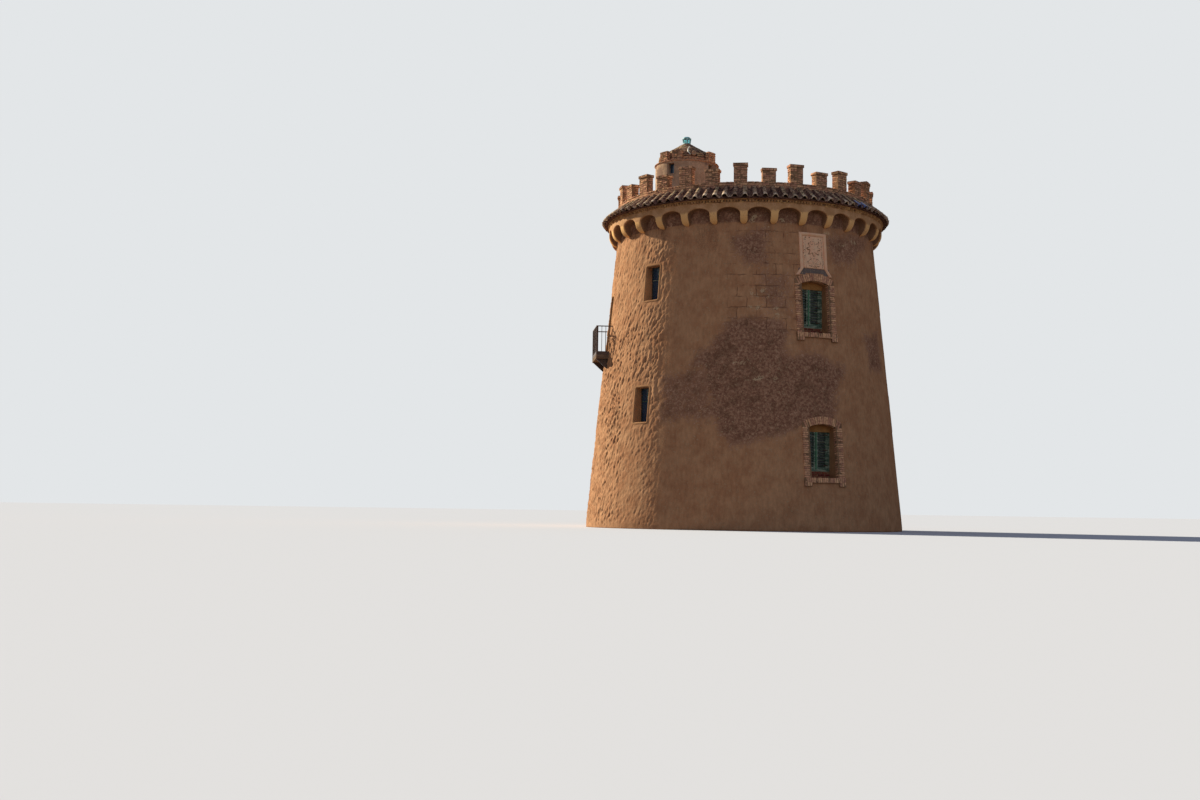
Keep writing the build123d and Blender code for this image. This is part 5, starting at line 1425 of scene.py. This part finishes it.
for radius, level in ((FOOT_RADIUS + 0.002, glass_low), (HEAD_WIDEST + 0.001, glass_high)):
    hoop = [(radius + out, level + rise) for out, rise in (
        (-0.012, -0.01), (0.007, -0.01), (0.007, 0.01), (-0.012, 0.01), (-0.012, -0.01))]
    shape, quads = lathe(hoop, LANTERN_SIDES, first=90.0)
    lamp_parts.append((shape + TURRET_MIDDLE, [quads], lamp_paint.material, 0.5))
put("lantern_bars", lamp_parts)

# Doors
# Upright boards side by side, held by wrought iron straps with a square-headed nail in each
# board. They stand for the plain leaves of the frame.

# Weathered oak, matt, brown going grey along its upright grain.
old_oak = painted("weathered_oak_boards", "#5B4331", "#73573F", "#8B7A63", 0.75)


def board_door(name, azimuth, plane, low, high, half, boards, head, node, finish, seed, at=0.0):
    """Door of boards: each board reaches up to the head line over its middle."""
    edges = np.linspace(-half, half, boards + 1)
    spots = (edges[:-1] + edges[1:]) / 2
    tops = head(spots)
    axes = upright_axes(azimuth)
    centres = polar(azimuth, plane - 0.03, (low + tops) / 2) + spots[:, None] * axes[0]
    sizes = np.stack((np.full(boards, 2 * half / boards - 0.004), np.full(boards, 0.045),
                      tops - low - 0.006), axis=-1)
    leaf = blocks(centres, axes, sizes, 0.004, seed, 0.0006)
    strap_levels = np.array([low + 0.3, low + (high - low) * 0.5, low + (high - low) * 0.8])
    straps = blocks(polar(azimuth, plane - 0.004, strap_levels) - 0.1 * half * axes[0], axes,
                    (1.7 * half, 0.008, 0.05), 0.002, seed + 1, 0.0)
    nail_x, nail_z = np.meshgrid(spots, strap_levels)
    nail_spots = polar(azimuth, plane + 0.001, nail_z.ravel()) + nail_x.ravel()[:, None] * axes[0]
    nails = blocks(nail_spots, axes, (0.02, 0.01, 0.02), 0.004, seed + 2, 0.0)
    put(name, made_of(finish, leaf, at=at) + made_of(iron, straps, nails, at=at),
        (node,))


FLOOR_TOP, ENTRANCE_HALF, ENTRANCE_SETBACK = 0.15, ENTRANCE_WIDTH / 2, 0.9
entrance_high = ENTRANCE_SPRING + ENTRANCE_HALF
entrance_plane = wall_radius((FLOOR_TOP + entrance_high) / 2) - ENTRANCE_SETBACK


def entrance_head(across):
    """Head of the entrance: a half round, cut square at the outermost boards."""
    return ENTRANCE_SPRING + np.sqrt(ENTRANCE_HALF ** 2 - np.minimum(np.abs(across), 0.55) ** 2)


board_door("entrance_boards", ENTRANCE_AZIMUTH, entrance_plane, FLOOR_TOP, entrance_high,
           ENTRANCE_HALF, 8, entrance_head, "entrance_door", old_oak, 901)

BALCONY_SETBACK = 0.3
door_wide, door_tall, door_rise = BALCONY_DOOR
door_arc = ((door_wide / 2) ** 2 + door_rise ** 2) / (2 * door_rise)
balcony_high = BALCONY_FLOOR + door_tall + door_rise
balcony_plane = wall_radius((BALCONY_FLOOR + balcony_high) / 2) - BALCONY_SETBACK


def balcony_head(across):
    """Head of the balcony door: a flat arc."""
    return balcony_high - door_arc + np.sqrt(door_arc ** 2 - across ** 2)


board_door("balcony_boards", BALCONY_AZIMUTH, balcony_plane, BALCONY_FLOOR, balcony_high,
           door_wide / 2, 6, balcony_head, "balcony_door", green_paint, 911)


def turret_head(across):
    """Head of the turret's door: level."""
    return TURRET_DOOR_TOP + 0 * across


turret_plane = np.sqrt(TURRET_INSIDE ** 2 - TURRET_DOOR_HALF ** 2) + 0.06
board_door("turret_boards", TURRET_DOOR, turret_plane, TERRACE_TOP, TURRET_DOOR_TOP,
           TURRET_DOOR_HALF, 5, turret_head, "turret_door", old_oak, 921, at=TURRET_MIDDLE)

# Plaster band round the balcony door, open at its foot.
head_angles = np.radians(np.linspace(-20.2, 20.2, 9))
head_line = np.stack((door_arc * np.sin(-head_angles), balcony_high - door_arc
                      + door_arc * np.cos(head_angles)), axis=-1)
side_levels = np.linspace(BALCONY_FLOOR, BALCONY_FLOOR + door_tall, 24)
right_side = np.stack((np.full(24, door_wide / 2), side_levels), axis=-1)
outline = np.concatenate((right_side, head_line[1:-1], (right_side * (-1, 1))[::-1]))
shape, quads = lining(BALCONY_AZIMUTH, outline, balcony_plane, LINING_PROFILE, 930, joined=False)
put("balcony_door_lining", [(shape, [quads], reveal.material, 0.5)], smooth=True,
    closed=False)

# Brick surround of the entrance
# Jambs in stretchers and a full half-round of voussoirs, like the windows' surrounds.
surround_half = ENTRANCE_HALF + SURROUND_WIDTH / 2
entrance_bricks = (
    brick_jambs(ENTRANCE_AZIMUTH, surround_half, FLOOR_TOP, ENTRANCE_SPRING - FLOOR_TOP, 940),
    brick_arch(ENTRANCE_AZIMUTH, surround_half, ENTRANCE_SPRING, np.linspace(-88, 88, 29), 0.066,
               SURROUND_PROUD + BRICK_PROUD, 942))
put("entrance_bricks", made_of(brick, *entrance_bricks))

# Balcony
# A thin stone slab on two gusset brackets, with a railing of square bars round it. Brackets
# and railing are of wrought iron and rusting.
# Grey-brown stone, darkened by soot and the rust of the railing.
balcony_slab_stone = mineral("grimy_balcony_slab", "#8F7A66", "#6F5C4C", "#5A4A3E", 0.2, 0.02,
                             0.003)
dress(balcony_slab_stone.material, "balcony_slab")
dress(iron.material, "balcony_brackets", "balcony_railing")
